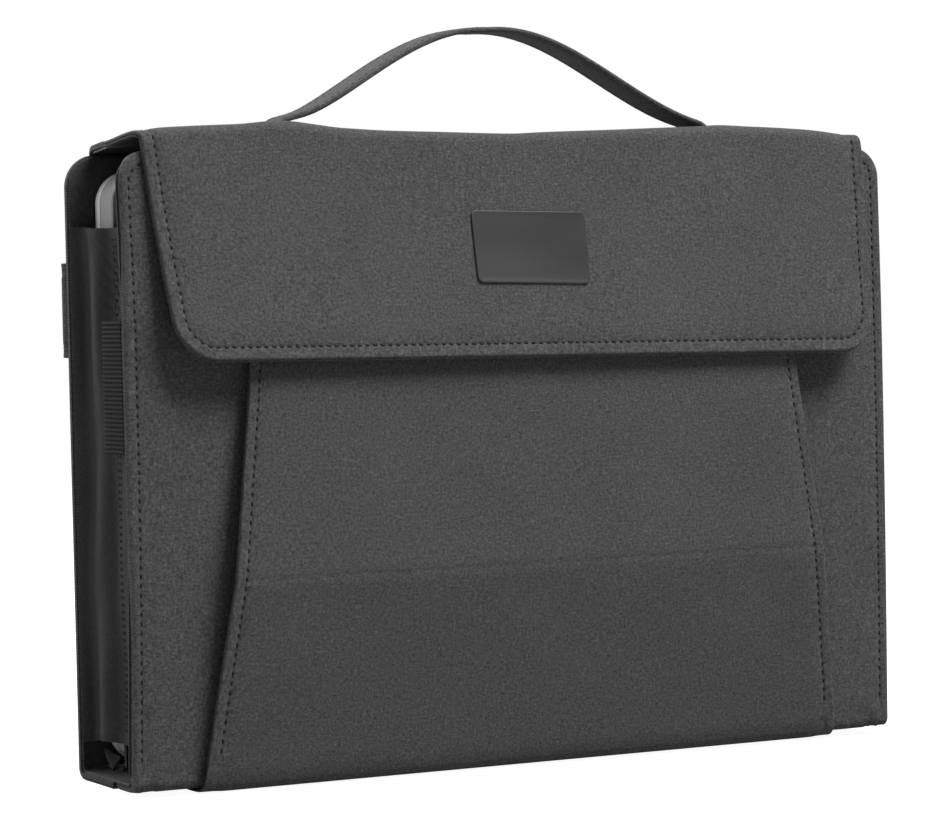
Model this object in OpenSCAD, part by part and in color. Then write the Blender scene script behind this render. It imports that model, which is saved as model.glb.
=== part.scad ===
// Carry case for a slim computer: a folding fabric case with a top flap,
// a strap handle, pleated side gussets and a fold-out stand on its front.
// X is across the case, -Y is its front, Z is up. The origin is on the
// underside, at the middle of the width and of the depth between the panels.

/* [Case] */
// Width of the closed case
case_w = 361; // [340:1:380]
// Height of the front and rear panels
case_h = 250; // [244:1:252]
// Depth over the front and rear panels
case_d = 50; // [50:1:54]
// Radius of the panels' top corners
corner_r = 13; // [6:1:20]
// Radius of the panels' bottom corners
foot_r = 6; // [3:1:10]

/* [Layers] */
// Thickness of the outer fabric over a board
fabric_t = 1; // [0.8:0.1:1]
// Thickness of a panel's stiffener board
board_t = 2; // [1.6:0.1:2]
// Thickness of a lining
lining_t = 0.8; // [0.6:0.1:0.8]
// Thickness of the stiffener boards in the flap, the top and the stand
thin_board_t = 1.4; // [1:0.1:1.4]
// Width of the sewn border round each board
seam_w = 5; // [3:0.5:8]

/* [Flap] */
// Width of the flap at its crease
flap_w_top = 341; // [320:1:350]
// Width of the flap at its lower edge
flap_w_bottom = 326; // [300:1:340]
// Length of the flap from its crease to its lower edge
flap_l = 94; // [80:1:100]
// Radius of the flap's lower corners
flap_r = 17; // [6:1:24]
// Lean of the closed flap away from the front panel, in degrees
flap_lean = 9.1; // [9.1:0.1:10]
// Width of the badge plate
badge_w = 53.5; // [30:0.5:80]
// Height of the badge plate
badge_h = 30; // [15:0.5:40]
// Thickness of the badge plate
badge_t = 0.8; // [0.5:0.1:1.5]

/* [Stand] */
// Half width of the stand at its bottom edge
stand_hw_bottom = 150; // [140:1:156]
// Half width of the stand at its fold
stand_hw_fold = 139.7; // [130:0.1:150]
// Half width of the stand at its top edge
stand_hw_top = 129; // [110:1:135]
// Length of the stand's lower half
stand_lower_l = 78.7; // [76:0.1:79]
// Length of the stand's upper half
stand_upper_l = 91.5; // [84:0.1:92]

/* [Handle] */
// Width of the handle strap
handle_w = 19; // [14:0.5:20]
// Thickness of the handle strap
handle_t = 2.4; // [2:0.1:2.8]
// Height of the top of the handle above the underside
handle_z = 300.8; // [298:0.1:306]

/* [Computer] */
// Width of the computer
computer_w = 337.6; // [320:0.1:338]
// Height of the computer as it stands in the case
computer_h = 236.6; // [215:0.1:238]
// Thickness of the computer
computer_t = 16.3; // [12:0.1:16.3]

/* [Magnets] */
// Diameter of a magnet
magnet_d = 12; // [8:1:15]
// Distance of a magnet from the middle of the case
magnet_x = 60; // [40:1:90]

/* [Hidden] */

yr = case_d / 2;                              // outer face of the rear panel
yf = -case_d / 2;                             // outer face of the front panel
panel_t = fabric_t + board_t + lining_t;
thin_t = 0.8 + thin_board_t + lining_t;       // flap, top and stand
hw = case_w / 2;
top_tilt = -5.2;                              // the top rises towards the front
top_l = 48.8;                                 // length of the top, back to front
flap_p = [-27, 258.2];                        // crease between top and flap
foot_p = [-28, 2.4];                          // fold under the stand's lower half
lower_lean = 7.6;
upper_lean = 2.8;
fold_o = 1.6;                                 // outer face of the stand, ahead of the fold line
handle_p = [-5, 258.6];                       // line that the handle swings about
charcoal = [0.27, 0.28, 0.29];
lining_c = [0.09, 0.09, 0.095];
board_c = [0.55, 0.5, 0.42];
silver = [0.8, 0.81, 0.82];
steel = [0.6, 0.6, 0.62];

// ---- outlines --------------------------------------------------------------

function unit(v) = v / norm(v);
// Points of a rounded corner at p, coming from a and going to b
function corner(a, p, b, r, n) =
    let (u = unit(a - p), v = unit(b - p), half = acos(u * v) / 2,
         c = p + unit(u + v) * r / sin(half), s = p + u * r / tan(half), e = p + v * r / tan(half),
         a0 = atan2(s[1] - c[1], s[0] - c[0]), a1 = atan2(e[1] - c[1], e[0] - c[0]),
         da = ((a1 - a0 + 540) % 360) - 180)
    [for (i = [0 : n]) c + r * [cos(a0 + da * i / n), sin(a0 + da * i / n)]];
// A polygon with a radius at each corner
function rounded(p, r, n = 8) =
    let (m = len(p))
    [for (i = [0 : m - 1]) each (r[i] < 0.05 ? [p[i]] : corner(p[(i + m - 1) % m], p[i], p[(i + 1) % m], r[i], n))];
// A panel's outline, s smaller all round than the panel
function panel_pts(s) =
    rounded([[-hw + s, s], [hw - s, s], [hw - s, case_h - s], [-hw + s, case_h - s]],
            [max(foot_r - s, 0.5), max(foot_r - s, 0.5), max(corner_r - s, 0.5), max(corner_r - s, 0.5)]);
// A trapezoid that stands on z0, with its half widths at z0 and z1
function trap_pts(z0, z1, w0, w1, r0, r1) =
    rounded([[-w0, z0], [w0, z0], [w1, z1], [-w1, z1]], [r0, r0, r1, r1]);
function flap_pts(s) =
    let (k = (flap_w_top - flap_w_bottom) / 2 / flap_l)
    rounded([[-flap_w_bottom / 2 + s - k * s, -flap_l + s], [flap_w_bottom / 2 - s + k * s, -flap_l + s],
             [flap_w_top / 2 - s - k * (0.4 + s), -0.4 - s * 0.6], [-flap_w_top / 2 + s + k * (0.4 + s), -0.4 - s * 0.6]],
            [max(flap_r - s, 1), max(flap_r - s, 1), 1, 1], 10);

// An upright plate with this outline, from y0 to y1
module plate(p, y0, y1) {
    translate([0, y1, 0]) rotate([90, 0, 0]) linear_extrude(y1 - y0) polygon(p);
}
// The fabric over a board: a skin and a border that the board sits in
module tray(outer, inner, y_out, y_in, skin) {
    s = sign(y_in - y_out);
    difference() {
        plate(outer, min(y_out, y_in), max(y_out, y_in));
        plate(inner, min(y_out + s * skin, y_in + s), max(y_out + s * skin, y_in + s));
    }
}
module box(a, b) { translate(a) cube(b - a); }
module magnet_pair(z, y0, y1, d) {
    for (s = [-1, 1]) translate([s * magnet_x, y1, z]) rotate([90, 0, 0]) cylinder(h = y1 - y0, d = d, $fn = 48);
}

// ---- rear, bottom and sides -------------------------------------------------

module rear_cover() {
    color(charcoal) tray(panel_pts(0), panel_pts(seam_w), yr, yr - fabric_t - board_t, fabric_t);
}
module rear_board() {
    color(board_c) plate(panel_pts(seam_w), yr - fabric_t - board_t, yr - fabric_t);
}
module rear_lining() {
    color(lining_c) plate(panel_pts(0), yr - panel_t, yr - fabric_t - board_t);
}
// The bottom runs between the two panels, clear of the front one
bottom_y0 = yf + panel_t + 0.4;
bottom_y1 = yr - panel_t;
bottom_hw = hw - 3;
module bottom_cover() {
    color(charcoal) difference() {
        box([-bottom_hw, bottom_y0, 0], [bottom_hw, bottom_y1, fabric_t + board_t]);
        box([-bottom_hw + seam_w, bottom_y0 + seam_w, fabric_t], [bottom_hw - seam_w, bottom_y1 - seam_w, 5]);
    }
}
module bottom_board() {
    color(board_c) box([-bottom_hw + seam_w, bottom_y0 + seam_w, fabric_t],
                       [bottom_hw - seam_w, bottom_y1 - seam_w, fabric_t + board_t]);
}
module bottom_lining() {
    color(lining_c) box([-bottom_hw, bottom_y0, fabric_t + board_t], [bottom_hw, bottom_y1, panel_t]);
}

// A pleated side: two folds in, with a seam ridge near the front panel
module gusset() {
    t = 1.2;
    p = [[-179.5, yr - panel_t], [-172.8, 15.5], [-177, 9.5], [-172.5, 3.5], [-178.5, -2.6], [-172.2, -4.4], [-172, yf + panel_t + 0.5]];
    n = len(p);
    color(lining_c) translate([0, 0, 15]) linear_extrude(206.5)
        polygon(concat(p, [for (i = [n - 1 : -1 : 0]) p[i] + [t, 0]]));
}
module left_gusset() { gusset(); }
module right_gusset() { mirror([1, 0, 0]) gusset(); }

// A three-cornered pocket that holds a bottom corner of the computer
module corner_pocket() {
    x0 = 169.4; x1 = 170.2;
    color(lining_c) {
        difference() {
            plate([[-x1, 4.4], [-x1 + 44, 4.4], [-x1, 48]], 2.8, yr - panel_t);
            box([-x0, 3.6, 5.2], [0, 40, 60]);
        }
    }
}
module left_corner_pocket() { corner_pocket(); }
module right_corner_pocket() { mirror([1, 0, 0]) corner_pocket(); }

// A flat strap across the back that slides over a trolley's handle
module trolley_strap() {
    gap = 5.2; t = 1.6; x0 = 162; x1 = 174;
    color(charcoal) translate([0, 0, 169]) linear_extrude(38)
        polygon([[-x1, yr], [-x0, yr + gap], [x0, yr + gap], [x1, yr],
                 [x1, yr + t], [x0 + 0.5, yr + gap + t], [-x0 - 0.5, yr + gap + t], [-x1, yr + t]]);
}

// ---- the computer that the case holds -------------------------------------

comp_y1 = yr - panel_t - 0.5;
comp_split = comp_y1 - 5;
function comp_pts(s) =
    rounded([[-computer_w / 2 + s, 6.4 + s], [computer_w / 2 - s, 6.4 + s],
             [computer_w / 2 - s, 6.4 + computer_h - s], [-computer_w / 2 + s, 6.4 + computer_h - s]],
            [13 - s, 13 - s, 13 - s, 13 - s]);
module laptop_base() {
    color(silver) {
        plate(comp_pts(0), comp_y1 - computer_t + 0.6, comp_split - 0.2);
        plate(comp_pts(0.8), comp_y1 - computer_t, comp_y1 - computer_t + 0.6);
    }
}
module laptop_lid() {
    color(silver) {
        plate(comp_pts(0), comp_split, comp_y1 - 0.6);
        plate(comp_pts(0.8), comp_y1 - 0.6, comp_y1);
        // hinge barrel between the two halves
        translate([-120, comp_split - 0.1, 8.4]) box([0, -0.1, 0], [240, 0.1, 4]);
    }
}
module laptop_feet() {
    color([0.15, 0.15, 0.15])
        for (x = [-140, 140], z = [34, 214])
            translate([x, comp_y1 - computer_t, z]) rotate([90, 0, 0]) cylinder(h = 1, d = 14, $fn = 32);
}

// ---- front panel ------------------------------------------------------------

module up(z) { translate([0, 0, z]) children(); }
module front_cover() {
    color(charcoal) difference() {
        tray(panel_pts(0), panel_pts(seam_w), yf, yf + fabric_t + board_t, fabric_t);
        box([-hw - 1, yf - 1, -1], [hw + 1, yf + 9, 0.6]);
    }
}
module front_board() {
    color(board_c) difference() {
        plate(panel_pts(seam_w), yf + fabric_t, yf + fabric_t + board_t);
        magnet_pair(160, yf + fabric_t - 1, yf + fabric_t + board_t + 1, magnet_d);
    }
}
module front_magnets() {
    color(steel) magnet_pair(160, yf + fabric_t, yf + fabric_t + board_t, magnet_d);
}
module front_lining() {
    color(lining_c) difference() {
        plate(panel_pts(0), yf + fabric_t + board_t, yf + panel_t);
        box([-hw - 1, yf - 1, -1], [hw + 1, yf + 9, 0.6]);
    }
}
// A ribbed elastic loop for a pen, sewn inside the front panel's left edge
module pen_loop() {
    y0 = yf + panel_t; y1 = -6;
    color([0.13, 0.13, 0.14]) translate([0, 0, 131]) linear_extrude(53) difference() {
        polygon(rounded([[-180.5, y0], [-173.2, y0], [-173.2, y1], [-180.5, y1]], [0, 0, 3, 3], 6));
        polygon(rounded([[-179.4, y0 + 1.1], [-174.3, y0 + 1.1], [-174.3, y1 - 1.1], [-179.4, y1 - 1.1]], [1, 1, 2, 2], 6));
    }
}

// ---- top ---------------------------------------------------------------------

// The frame of the top: y runs forward from the rear edge as -y, z is its thickness
module on_top() { translate([0, yr, 250.4]) rotate([top_tilt, 0, 0]) children(); }
top_hw = 174;
top_z = [0.1, 0.9, 2.3, 3.3];
module top_cover() {
    color(charcoal) on_top() difference() {
        box([-top_hw, -top_l, top_z[1]], [top_hw, -0.8, top_z[3]]);
        box([-top_hw + seam_w, -top_l + seam_w, 0], [top_hw - seam_w, -0.8 - seam_w, top_z[2]]);
    }
}
module top_board() {
    color(board_c) on_top() box([-top_hw + seam_w, -top_l + seam_w, top_z[1]], [top_hw - seam_w, -0.8 - seam_w, top_z[2]]);
}
module top_lining() {
    color(lining_c) on_top() box([-top_hw, -top_l, top_z[0]], [top_hw, -0.8, top_z[1]]);
}
// The handle's sewn ends, rounded about the line that it swings on
module handle_tabs() {
    color(charcoal) difference() {
        for (s = [-1, 1]) translate([s * 98 - 9, handle_p[0], handle_p[1]]) {
            rotate([0, 90, 0]) cylinder(h = 18, r = 3.2, $fn = 48);
            translate([0, -3.2, -3.2]) cube([18, 6.4, 3.2]);
        }
        on_top() box([-120, -60, -5], [120, 0, top_z[3]]);
    }
}

// ---- flap ---------------------------------------------------------------------

module on_flap() { translate([0, flap_p[0], flap_p[1]]) rotate([-flap_lean, 0, 0]) children(); }
flap_y = [-0.6, 0.2, 0.2 + thin_board_t, 0.2 + thin_board_t + lining_t];
module flap_cover() {
    color(charcoal) on_flap() tray(flap_pts(0), flap_pts(seam_w), flap_y[0], flap_y[2], 0.8);
}
module flap_board() {
    color(board_c) on_flap() difference() {
        plate(flap_pts(seam_w), flap_y[1], flap_y[2]);
        magnet_pair(-80, flap_y[1] - 1, flap_y[2] + 1, magnet_d);
    }
}
module flap_magnets() {
    color(steel) on_flap() magnet_pair(-80, flap_y[1], flap_y[2], magnet_d);
}
module flap_lining() {
    color(lining_c) on_flap() plate(flap_pts(0), flap_y[2], flap_y[3]);
}
module badge() {
    color([0.2, 0.2, 0.21]) on_flap() translate([0.3, 0, -49.5]) rotate([0, 1.2, 0])
        plate(rounded([[-badge_w / 2, -badge_h / 2], [badge_w / 2, -badge_h / 2],
                       [badge_w / 2, badge_h / 2], [-badge_w / 2, badge_h / 2]], [2.5, 2.5, 2.5, 2.5], 6),
              flap_y[0] - badge_t, flap_y[0]);
}

// ---- handle ------------------------------------------------------------------

// Height of the strap's upper face over x
function arch(x) = handle_z - 41 * pow(sin(90 * abs(x) / 115), 2);
// A layer of the strap, between two depths below its upper face
module strap_layer(d0, d1, w, hx) {
    n = 44;
    xs = [for (i = [0 : n]) -hx + 2 * hx * i / n];
    translate([0, handle_p[0] + w / 2, 0]) rotate([90, 0, 0]) linear_extrude(w)
        polygon(concat([for (x = xs) [x, arch(x) - d0]], [for (i = [n : -1 : 0]) [xs[i], arch(xs[i]) - d1]]));
}
module handle_strap() {
    color(charcoal) difference() {
        strap_layer(0, handle_t, handle_w, 88);
        strap_layer(0.7, handle_t - 0.7, handle_w - 5, 84);
    }
}
module handle_core() {
    color([0.2, 0.2, 0.2]) strap_layer(0.7, handle_t - 0.7, handle_w - 5, 84);
}

// ---- stand --------------------------------------------------------------------

// The lower half stands in its own frame: z up along it, its outer face at -fold_o
module on_lower() { translate([0, foot_p[0], foot_p[1]]) rotate([lower_lean, 0, 0]) children(); }
// The upper half starts at the fold
fold_y = foot_p[0] - fold_o * cos(lower_lean) - stand_lower_l * sin(lower_lean);
fold_z = foot_p[1] - fold_o * sin(lower_lean) + stand_lower_l * cos(lower_lean);
module on_upper() { translate([0, fold_y, fold_z]) rotate([-upper_lean, 0, 0]) children(); }
// Cuts an end back so that the two halves can fold towards each other
module fold_cut_lower() { translate([-200, -fold_o, stand_lower_l - 0.4]) rotate([-51, 0, 0]) translate([0, -10, 0]) cube([400, 30, 30]); }
module fold_cut_upper() { translate([-200, 0, 0.4]) rotate([51, 0, 0]) translate([0, -10, -30]) cube([400, 30, 30]); }
lower_y = [-fold_o, -fold_o + 0.8, -fold_o + 0.8 + thin_board_t, -fold_o + thin_t];
upper_y = [0, 0.8, 0.8 + thin_board_t, thin_t];
function lower_w(z) = stand_hw_bottom + (stand_hw_fold - stand_hw_bottom) * z / stand_lower_l;
function upper_w(z) = stand_hw_fold + (stand_hw_top - stand_hw_fold) * z / stand_upper_l;
function lower_pts(s) =
    trap_pts(1.8 + s * 0.6, stand_lower_l - s, lower_w(1.8 + s * 0.6) - s, lower_w(stand_lower_l - s) - s, s > 0 ? 1 : 0, s > 0 ? 1 : 0);
function upper_pts(s) =
    trap_pts(s, stand_upper_l - s, upper_w(s) - s, upper_w(stand_upper_l - s) - s, s > 0 ? 1 : 0, s > 0 ? 1.5 : 4);

module stand_lower_cover() {
    color(charcoal) on_lower() difference() {
        tray(lower_pts(0), lower_pts(seam_w), lower_y[0], lower_y[2], 0.8);
        fold_cut_lower();
    }
}
module stand_lower_board() {
    color(board_c) on_lower() plate(lower_pts(seam_w), lower_y[1], lower_y[2]);
}
module stand_lower_lining() {
    color(lining_c) on_lower() difference() {
        plate(lower_pts(0), lower_y[2], lower_y[3]);
        fold_cut_lower();
    }
}
// The rolled edge under the stand, round its fold line
module stand_hinge_bead() {
    color(charcoal) on_lower() difference() {
        translate([-stand_hw_bottom, 0, 0]) rotate([0, 90, 0]) cylinder(h = 2 * stand_hw_bottom, r = 1.5, $fn = 32);
        box([-200, -5, 1.8], [200, 5, 5]);
    }
}
module stand_upper_cover() {
    color(charcoal) on_upper() difference() {
        tray(upper_pts(0), upper_pts(seam_w), upper_y[0], upper_y[2], 0.8);
        fold_cut_upper();
    }
}
module stand_upper_board() {
    color(board_c) on_upper() difference() {
        plate(upper_pts(seam_w), upper_y[1], upper_y[2]);
        magnet_pair(stand_upper_l - 12, upper_y[1] - 1, upper_y[2] + 1, magnet_d);
    }
}
module stand_magnets() {
    color(steel) on_upper() magnet_pair(stand_upper_l - 12, upper_y[1], upper_y[2], magnet_d);
}
module stand_upper_lining() {
    color(lining_c) on_upper() difference() {
        plate(upper_pts(0), upper_y[2], upper_y[3]);
        fold_cut_upper();
    }
}

rear_cover();
rear_board();
rear_lining();
bottom_cover();
bottom_board();
bottom_lining();
left_gusset();
right_gusset();
left_corner_pocket();
right_corner_pocket();
trolley_strap();
laptop_base();
laptop_lid();
laptop_feet();
front_cover();
front_board();
front_lining();
front_magnets();
pen_loop();
top_cover();
top_board();
top_lining();
handle_tabs();
flap_cover();
flap_board();
flap_lining();
flap_magnets();
badge();
handle_strap();
handle_core();
stand_lower_cover();
stand_lower_board();
stand_lower_lining();
stand_hinge_bead();
stand_upper_cover();
stand_upper_board();
stand_upper_lining();
stand_magnets();
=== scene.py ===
import bpy, bmesh, math
import numpy as np
from mathutils import Matrix, Vector
from mathutils.geometry import delaunay_2d_cdt


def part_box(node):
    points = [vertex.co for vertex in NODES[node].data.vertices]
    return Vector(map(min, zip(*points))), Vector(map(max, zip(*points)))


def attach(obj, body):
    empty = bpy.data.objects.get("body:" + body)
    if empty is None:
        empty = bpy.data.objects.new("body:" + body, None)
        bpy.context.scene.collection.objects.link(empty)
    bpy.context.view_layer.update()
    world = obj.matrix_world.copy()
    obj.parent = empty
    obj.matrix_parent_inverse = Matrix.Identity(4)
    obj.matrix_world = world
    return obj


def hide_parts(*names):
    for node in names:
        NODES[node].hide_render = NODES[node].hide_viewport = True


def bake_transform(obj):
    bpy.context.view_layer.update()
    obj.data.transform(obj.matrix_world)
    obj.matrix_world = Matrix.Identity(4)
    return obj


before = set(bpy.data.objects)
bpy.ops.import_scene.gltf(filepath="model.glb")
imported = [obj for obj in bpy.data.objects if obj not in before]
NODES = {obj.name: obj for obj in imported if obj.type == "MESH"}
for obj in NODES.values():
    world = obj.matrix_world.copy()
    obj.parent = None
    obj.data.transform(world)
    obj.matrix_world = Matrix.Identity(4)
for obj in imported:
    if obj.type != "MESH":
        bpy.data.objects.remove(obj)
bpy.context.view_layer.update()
MM = 0.001

# ---------------------------------------------------------------- camera

AZ, EL, ROLL, DIST = -29.646, 1.756, -1.322, 1.73299
TARGET = Vector((-0.0088, 0.0, 0.1424))
a, e, r = (math.radians(v) for v in (AZ, EL, ROLL))
back = Vector((math.sin(a) * math.cos(e), -math.cos(a) * math.cos(e), math.sin(e)))
right = (-back).cross(Vector((0, 0, 1))).normalized()
up = right.cross(-back)
right2 = math.cos(r) * right + math.sin(r) * up
up2 = -math.sin(r) * right + math.cos(r) * up
cam_data = bpy.data.cameras.new("camera")
cam_data.sensor_width = 36.0
cam_data.lens = 158.84
cam_data.clip_start, cam_data.clip_end = 0.05, 60.0
cam = bpy.data.objects.new("camera", cam_data)
bpy.context.scene.collection.objects.link(cam)
m = Matrix((right2, up2, back)).transposed().to_4x4()
m.translation = TARGET + back * DIST
cam.matrix_world = m
bpy.context.scene.camera = cam
bpy.context.scene.view_settings.view_transform = "Standard"

# ---------------------------------------------------------------- materials


class Nodes:
    """Short forms for making node trees."""

    def __init__(self, name):
        self.mat = bpy.data.materials.new(name)
        self.mat.use_nodes = True
        self.t = self.mat.node_tree
        self.b = self.t.nodes["Principled BSDF"]

    def new(self, kind, **kw):
        n = self.t.nodes.new(kind)
        for k, v in kw.items():
            setattr(n, k, v)
        return n

    def link(self, a, b):
        self.t.links.new(a, b)

    def put(self, socket, v):
        if isinstance(v, (int, float)):
            socket.default_value = v
        else:
            self.link(v, socket)

    def math(self, op, a, b=None, c=None, clamp=False):
        n = self.new("ShaderNodeMath", operation=op, use_clamp=clamp)
        for i, v in enumerate((a, b, c)):
            if v is not None:
                self.put(n.inputs[i], v)
        return n.outputs[0]

    def flat(self):
        return self.new("ShaderNodeAttribute", attribute_name="flat").outputs["Vector"]

    def obj(self):
        return self.new("ShaderNodeTexCoord").outputs["Object"]

    def scaled(self, v, s, loc=(0, 0, 0), rot=(0, 0, 0)):
        n = self.new("ShaderNodeMapping")
        n.inputs["Scale"].default_value = s
        n.inputs["Location"].default_value = loc
        n.inputs["Rotation"].default_value = rot
        self.link(v, n.inputs["Vector"])
        return n.outputs[0]

    def noise(self, v, scale=1.0, detail=2.0, rough=0.5):
        n = self.new("ShaderNodeTexNoise")
        n.inputs["Scale"].default_value = scale
        n.inputs["Detail"].default_value = detail
        n.inputs["Roughness"].default_value = rough
        self.link(v, n.inputs["Vector"])
        return n.outputs["Fac"]

    def ramp(self, f, stops):
        n = self.new("ShaderNodeValToRGB")
        while len(n.color_ramp.elements) < len(stops):
            n.color_ramp.elements.new(0.5)
        for el, (p, c) in zip(n.color_ramp.elements, stops):
            el.position = p
            el.color = (*c, 1.0)
        self.link(f, n.inputs[0])
        return n.outputs[0]

    def bump(self, h, strength, distance, normal=None):
        n = self.new("ShaderNodeBump")
        n.inputs["Strength"].default_value = strength
        n.inputs["Distance"].default_value = distance
        self.link(h, n.inputs["Height"])
        if normal is not None:
            self.link(normal, n.inputs["Normal"])
        return n.outputs[0]

    def shader(self, **kw):
        for k, v in kw.items():
            self.b.inputs[k.replace("_", " ")].default_value = v


def grey(v, cool=0.0):
    return (v * (1 - cool * 0.4), v, v * (1 + cool))


def melange(name="melange_fabric", dark=0.016, light=0.150, mean=0.5, cool=0.012):
    """Plain-woven charcoal fabric: flecks of light and dark yarn, short slubs along X and finer ones along the warp."""
    n = Nodes(name)
    v = n.flat()
    weft = n.noise(n.scaled(v, (520, 1500, 900)), 1.0, 2.0, 0.55)
    slub = n.noise(n.scaled(v, (160, 1500, 900), (3.1, 0.7, 0)), 1.0, 1.0, 0.5)
    warp = n.noise(n.scaled(v, (1500, 390, 900), (0.3, 5.1, 0)), 1.0, 2.0, 0.55)
    yarn = n.noise(n.scaled(v, (1700, 150, 900), (1.7, 2.9, 0)), 1.0, 1.0, 0.5)
    fleck = n.noise(n.scaled(v, (1080, 1080, 1080)), 1.0, 1.0, 0.5)
    cloud = n.noise(n.scaled(v, (22, 30, 22)), 1.0, 2.0, 0.5)
    s = n.math("MULTIPLY_ADD", weft, 0.72, -0.36)
    s = n.math("ADD", s, n.math("MULTIPLY_ADD", warp, 0.50, -0.25))
    s = n.math("ADD", s, n.math("MULTIPLY_ADD", fleck, 0.90, -0.45))
    s = n.math("ADD", s, n.math("MULTIPLY_ADD", slub, 0.22, -0.11))
    s = n.math("ADD", s, n.math("MULTIPLY_ADD", yarn, 0.32, -0.16))
    s = n.math("ADD", s, n.math("MULTIPLY_ADD", cloud, 0.16, -0.08))
    # the weave itself: over and under at 0.44 mm
    sep = n.new("ShaderNodeSeparateXYZ")
    n.link(v, sep.inputs[0])
    k = math.pi / 0.00044
    sx = n.math("SINE", n.math("MULTIPLY", sep.outputs[0], k))
    sy = n.math("SINE", n.math("MULTIPLY", sep.outputs[1], k))
    over = n.math("MULTIPLY", sx, sy)
    s = n.math("ADD", s, n.math("MULTIPLY", over, 0.12))
    f = n.math("ADD", s, mean, clamp=True)
    col = n.ramp(f, [(0.0, grey(dark, cool)), (0.5, grey((dark + light) * 0.42, cool)), (1.0, grey(light, cool))])
    n.link(col, n.b.inputs["Base Color"])
    h = n.math("ADD", n.math("MULTIPLY", over, 0.5), n.math("ADD", n.math("MULTIPLY", weft, 1.6), n.math("MULTIPLY", fleck, 1.6)))
    n.link(n.bump(h, 0.42, 0.00014), n.b.inputs["Normal"])
    n.link(n.math("MULTIPLY_ADD", f, 0.10, 0.84), n.b.inputs["Roughness"])
    n.shader(Sheen_Weight=0.06, Sheen_Roughness=0.6, Specular_IOR_Level=0.16)
    return n.mat


def twill(name="black_twill", dark=0.005, light=0.185, pitch=1.15, zigzag=0.0, sign=1.0, mean=0.5):
    """Diagonal ribs, with chevrons where zigzag gives the width of a column in metres."""
    n = Nodes(name)
    v = n.flat()
    sep = n.new("ShaderNodeSeparateXYZ")
    n.link(v, sep.inputs[0])
    u = sep.outputs[0]
    if zigzag:
        u = n.math("PINGPONG", u, zigzag)
    k = 2 * math.pi / (pitch * MM)
    ph = n.math("MULTIPLY", n.math("ADD", n.math("MULTIPLY", u, sign), sep.outputs[1]), k)
    rib = n.math("MULTIPLY_ADD", n.math("SINE", ph), 0.5, 0.5)
    cut = n.math("MULTIPLY_ADD", n.math("SINE", n.math("MULTIPLY", n.math("SUBTRACT", sep.outputs[1], n.math("MULTIPLY", u, sign)), k * 1.35)), 0.5, 0.5)
    dots = n.math("MULTIPLY", n.math("POWER", rib, 1.6), n.math("MULTIPLY_ADD", cut, 0.6, 0.4))
    yarn = n.noise(n.scaled(v, (700, 700, 700)), 1.0, 2.0)
    cloud = n.noise(n.scaled(v, (30, 18, 30)), 1.0, 2.0)
    f = n.math("ADD", n.math("MULTIPLY", dots, n.math("MULTIPLY_ADD", yarn, 1.2, 0.2)), n.math("MULTIPLY_ADD", cloud, 0.3, -0.15 + (mean - 0.5)), clamp=True)
    col = n.ramp(f, [(0.0, grey(dark)), (0.6, grey((dark + light) * 0.40)), (1.0, grey(light))])
    n.link(col, n.b.inputs["Base Color"])
    n.link(n.bump(dots, 0.5, 0.00018), n.b.inputs["Normal"])
    n.shader(Roughness=0.72, Sheen_Weight=0.08, Sheen_Roughness=0.5, Specular_IOR_Level=0.3)
    return n.mat


def smooth_lining(name="smooth_lining"):
    n = Nodes(name)
    v = n.flat()
    w = n.noise(n.scaled(v, (1700, 1700, 900)), 1.0, 2.0)
    c = n.noise(n.scaled(v, (35, 35, 35)), 1.0, 3.0)
    f = n.math("ADD", n.math("MULTIPLY", w, 0.6), n.math("MULTIPLY", c, 0.4))
    n.link(n.ramp(f, [(0.2, grey(0.007)), (0.8, grey(0.020))]), n.b.inputs["Base Color"])
    n.link(n.bump(f, 0.4, 0.0002), n.b.inputs["Normal"])
    n.shader(Roughness=0.62, Specular_IOR_Level=0.35)
    return n.mat


def elastic(name="ribbed_elastic"):
    n = Nodes(name)
    v = n.flat()
    sep = n.new("ShaderNodeSeparateXYZ")
    n.link(v, sep.inputs[0])
    th = n.math("MULTIPLY_ADD", n.math("SINE", n.math("MULTIPLY", sep.outputs[0], 2 * math.pi / 0.0007)), 0.5, 0.5)
    # painted light and shade: the colour is lighter on the crests of the ribs and darker in the valleys, in step with
    # the pen loop's ribbed shape
    rib = n.math("MULTIPLY_ADD", n.math("COSINE", n.math("MULTIPLY_ADD", sep.outputs[1], 2 * math.pi / 0.00174, math.pi)), 0.5, 0.5)
    y = n.noise(n.scaled(v, (900, 900, 900)), 1.0, 2.0)
    f = n.math("ADD", n.math("MULTIPLY", rib, 0.65), n.math("MULTIPLY", n.math("MULTIPLY", th, y), 0.5), clamp=True)
    n.link(n.ramp(f, [(0.0, grey(0.002)), (0.45, grey(0.005)), (1.0, grey(0.045))]), n.b.inputs["Base Color"])
    n.link(n.bump(n.math("ADD", th, y), 0.4, 0.00012), n.b.inputs["Normal"])
    n.shader(Roughness=0.8, Sheen_Weight=0.02, Specular_IOR_Level=0.12)
    return n.mat


def thread(name="black_thread"):
    n = Nodes(name)
    y = n.noise(n.obj(), 2600.0, 2.0)
    n.link(n.ramp(y, [(0.3, grey(0.002)), (0.7, grey(0.009))]), n.b.inputs["Base Color"])
    n.link(n.bump(y, 0.5, 0.0001), n.b.inputs["Normal"])
    n.shader(Roughness=0.55, Specular_IOR_Level=0.35)
    return n.mat


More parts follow.
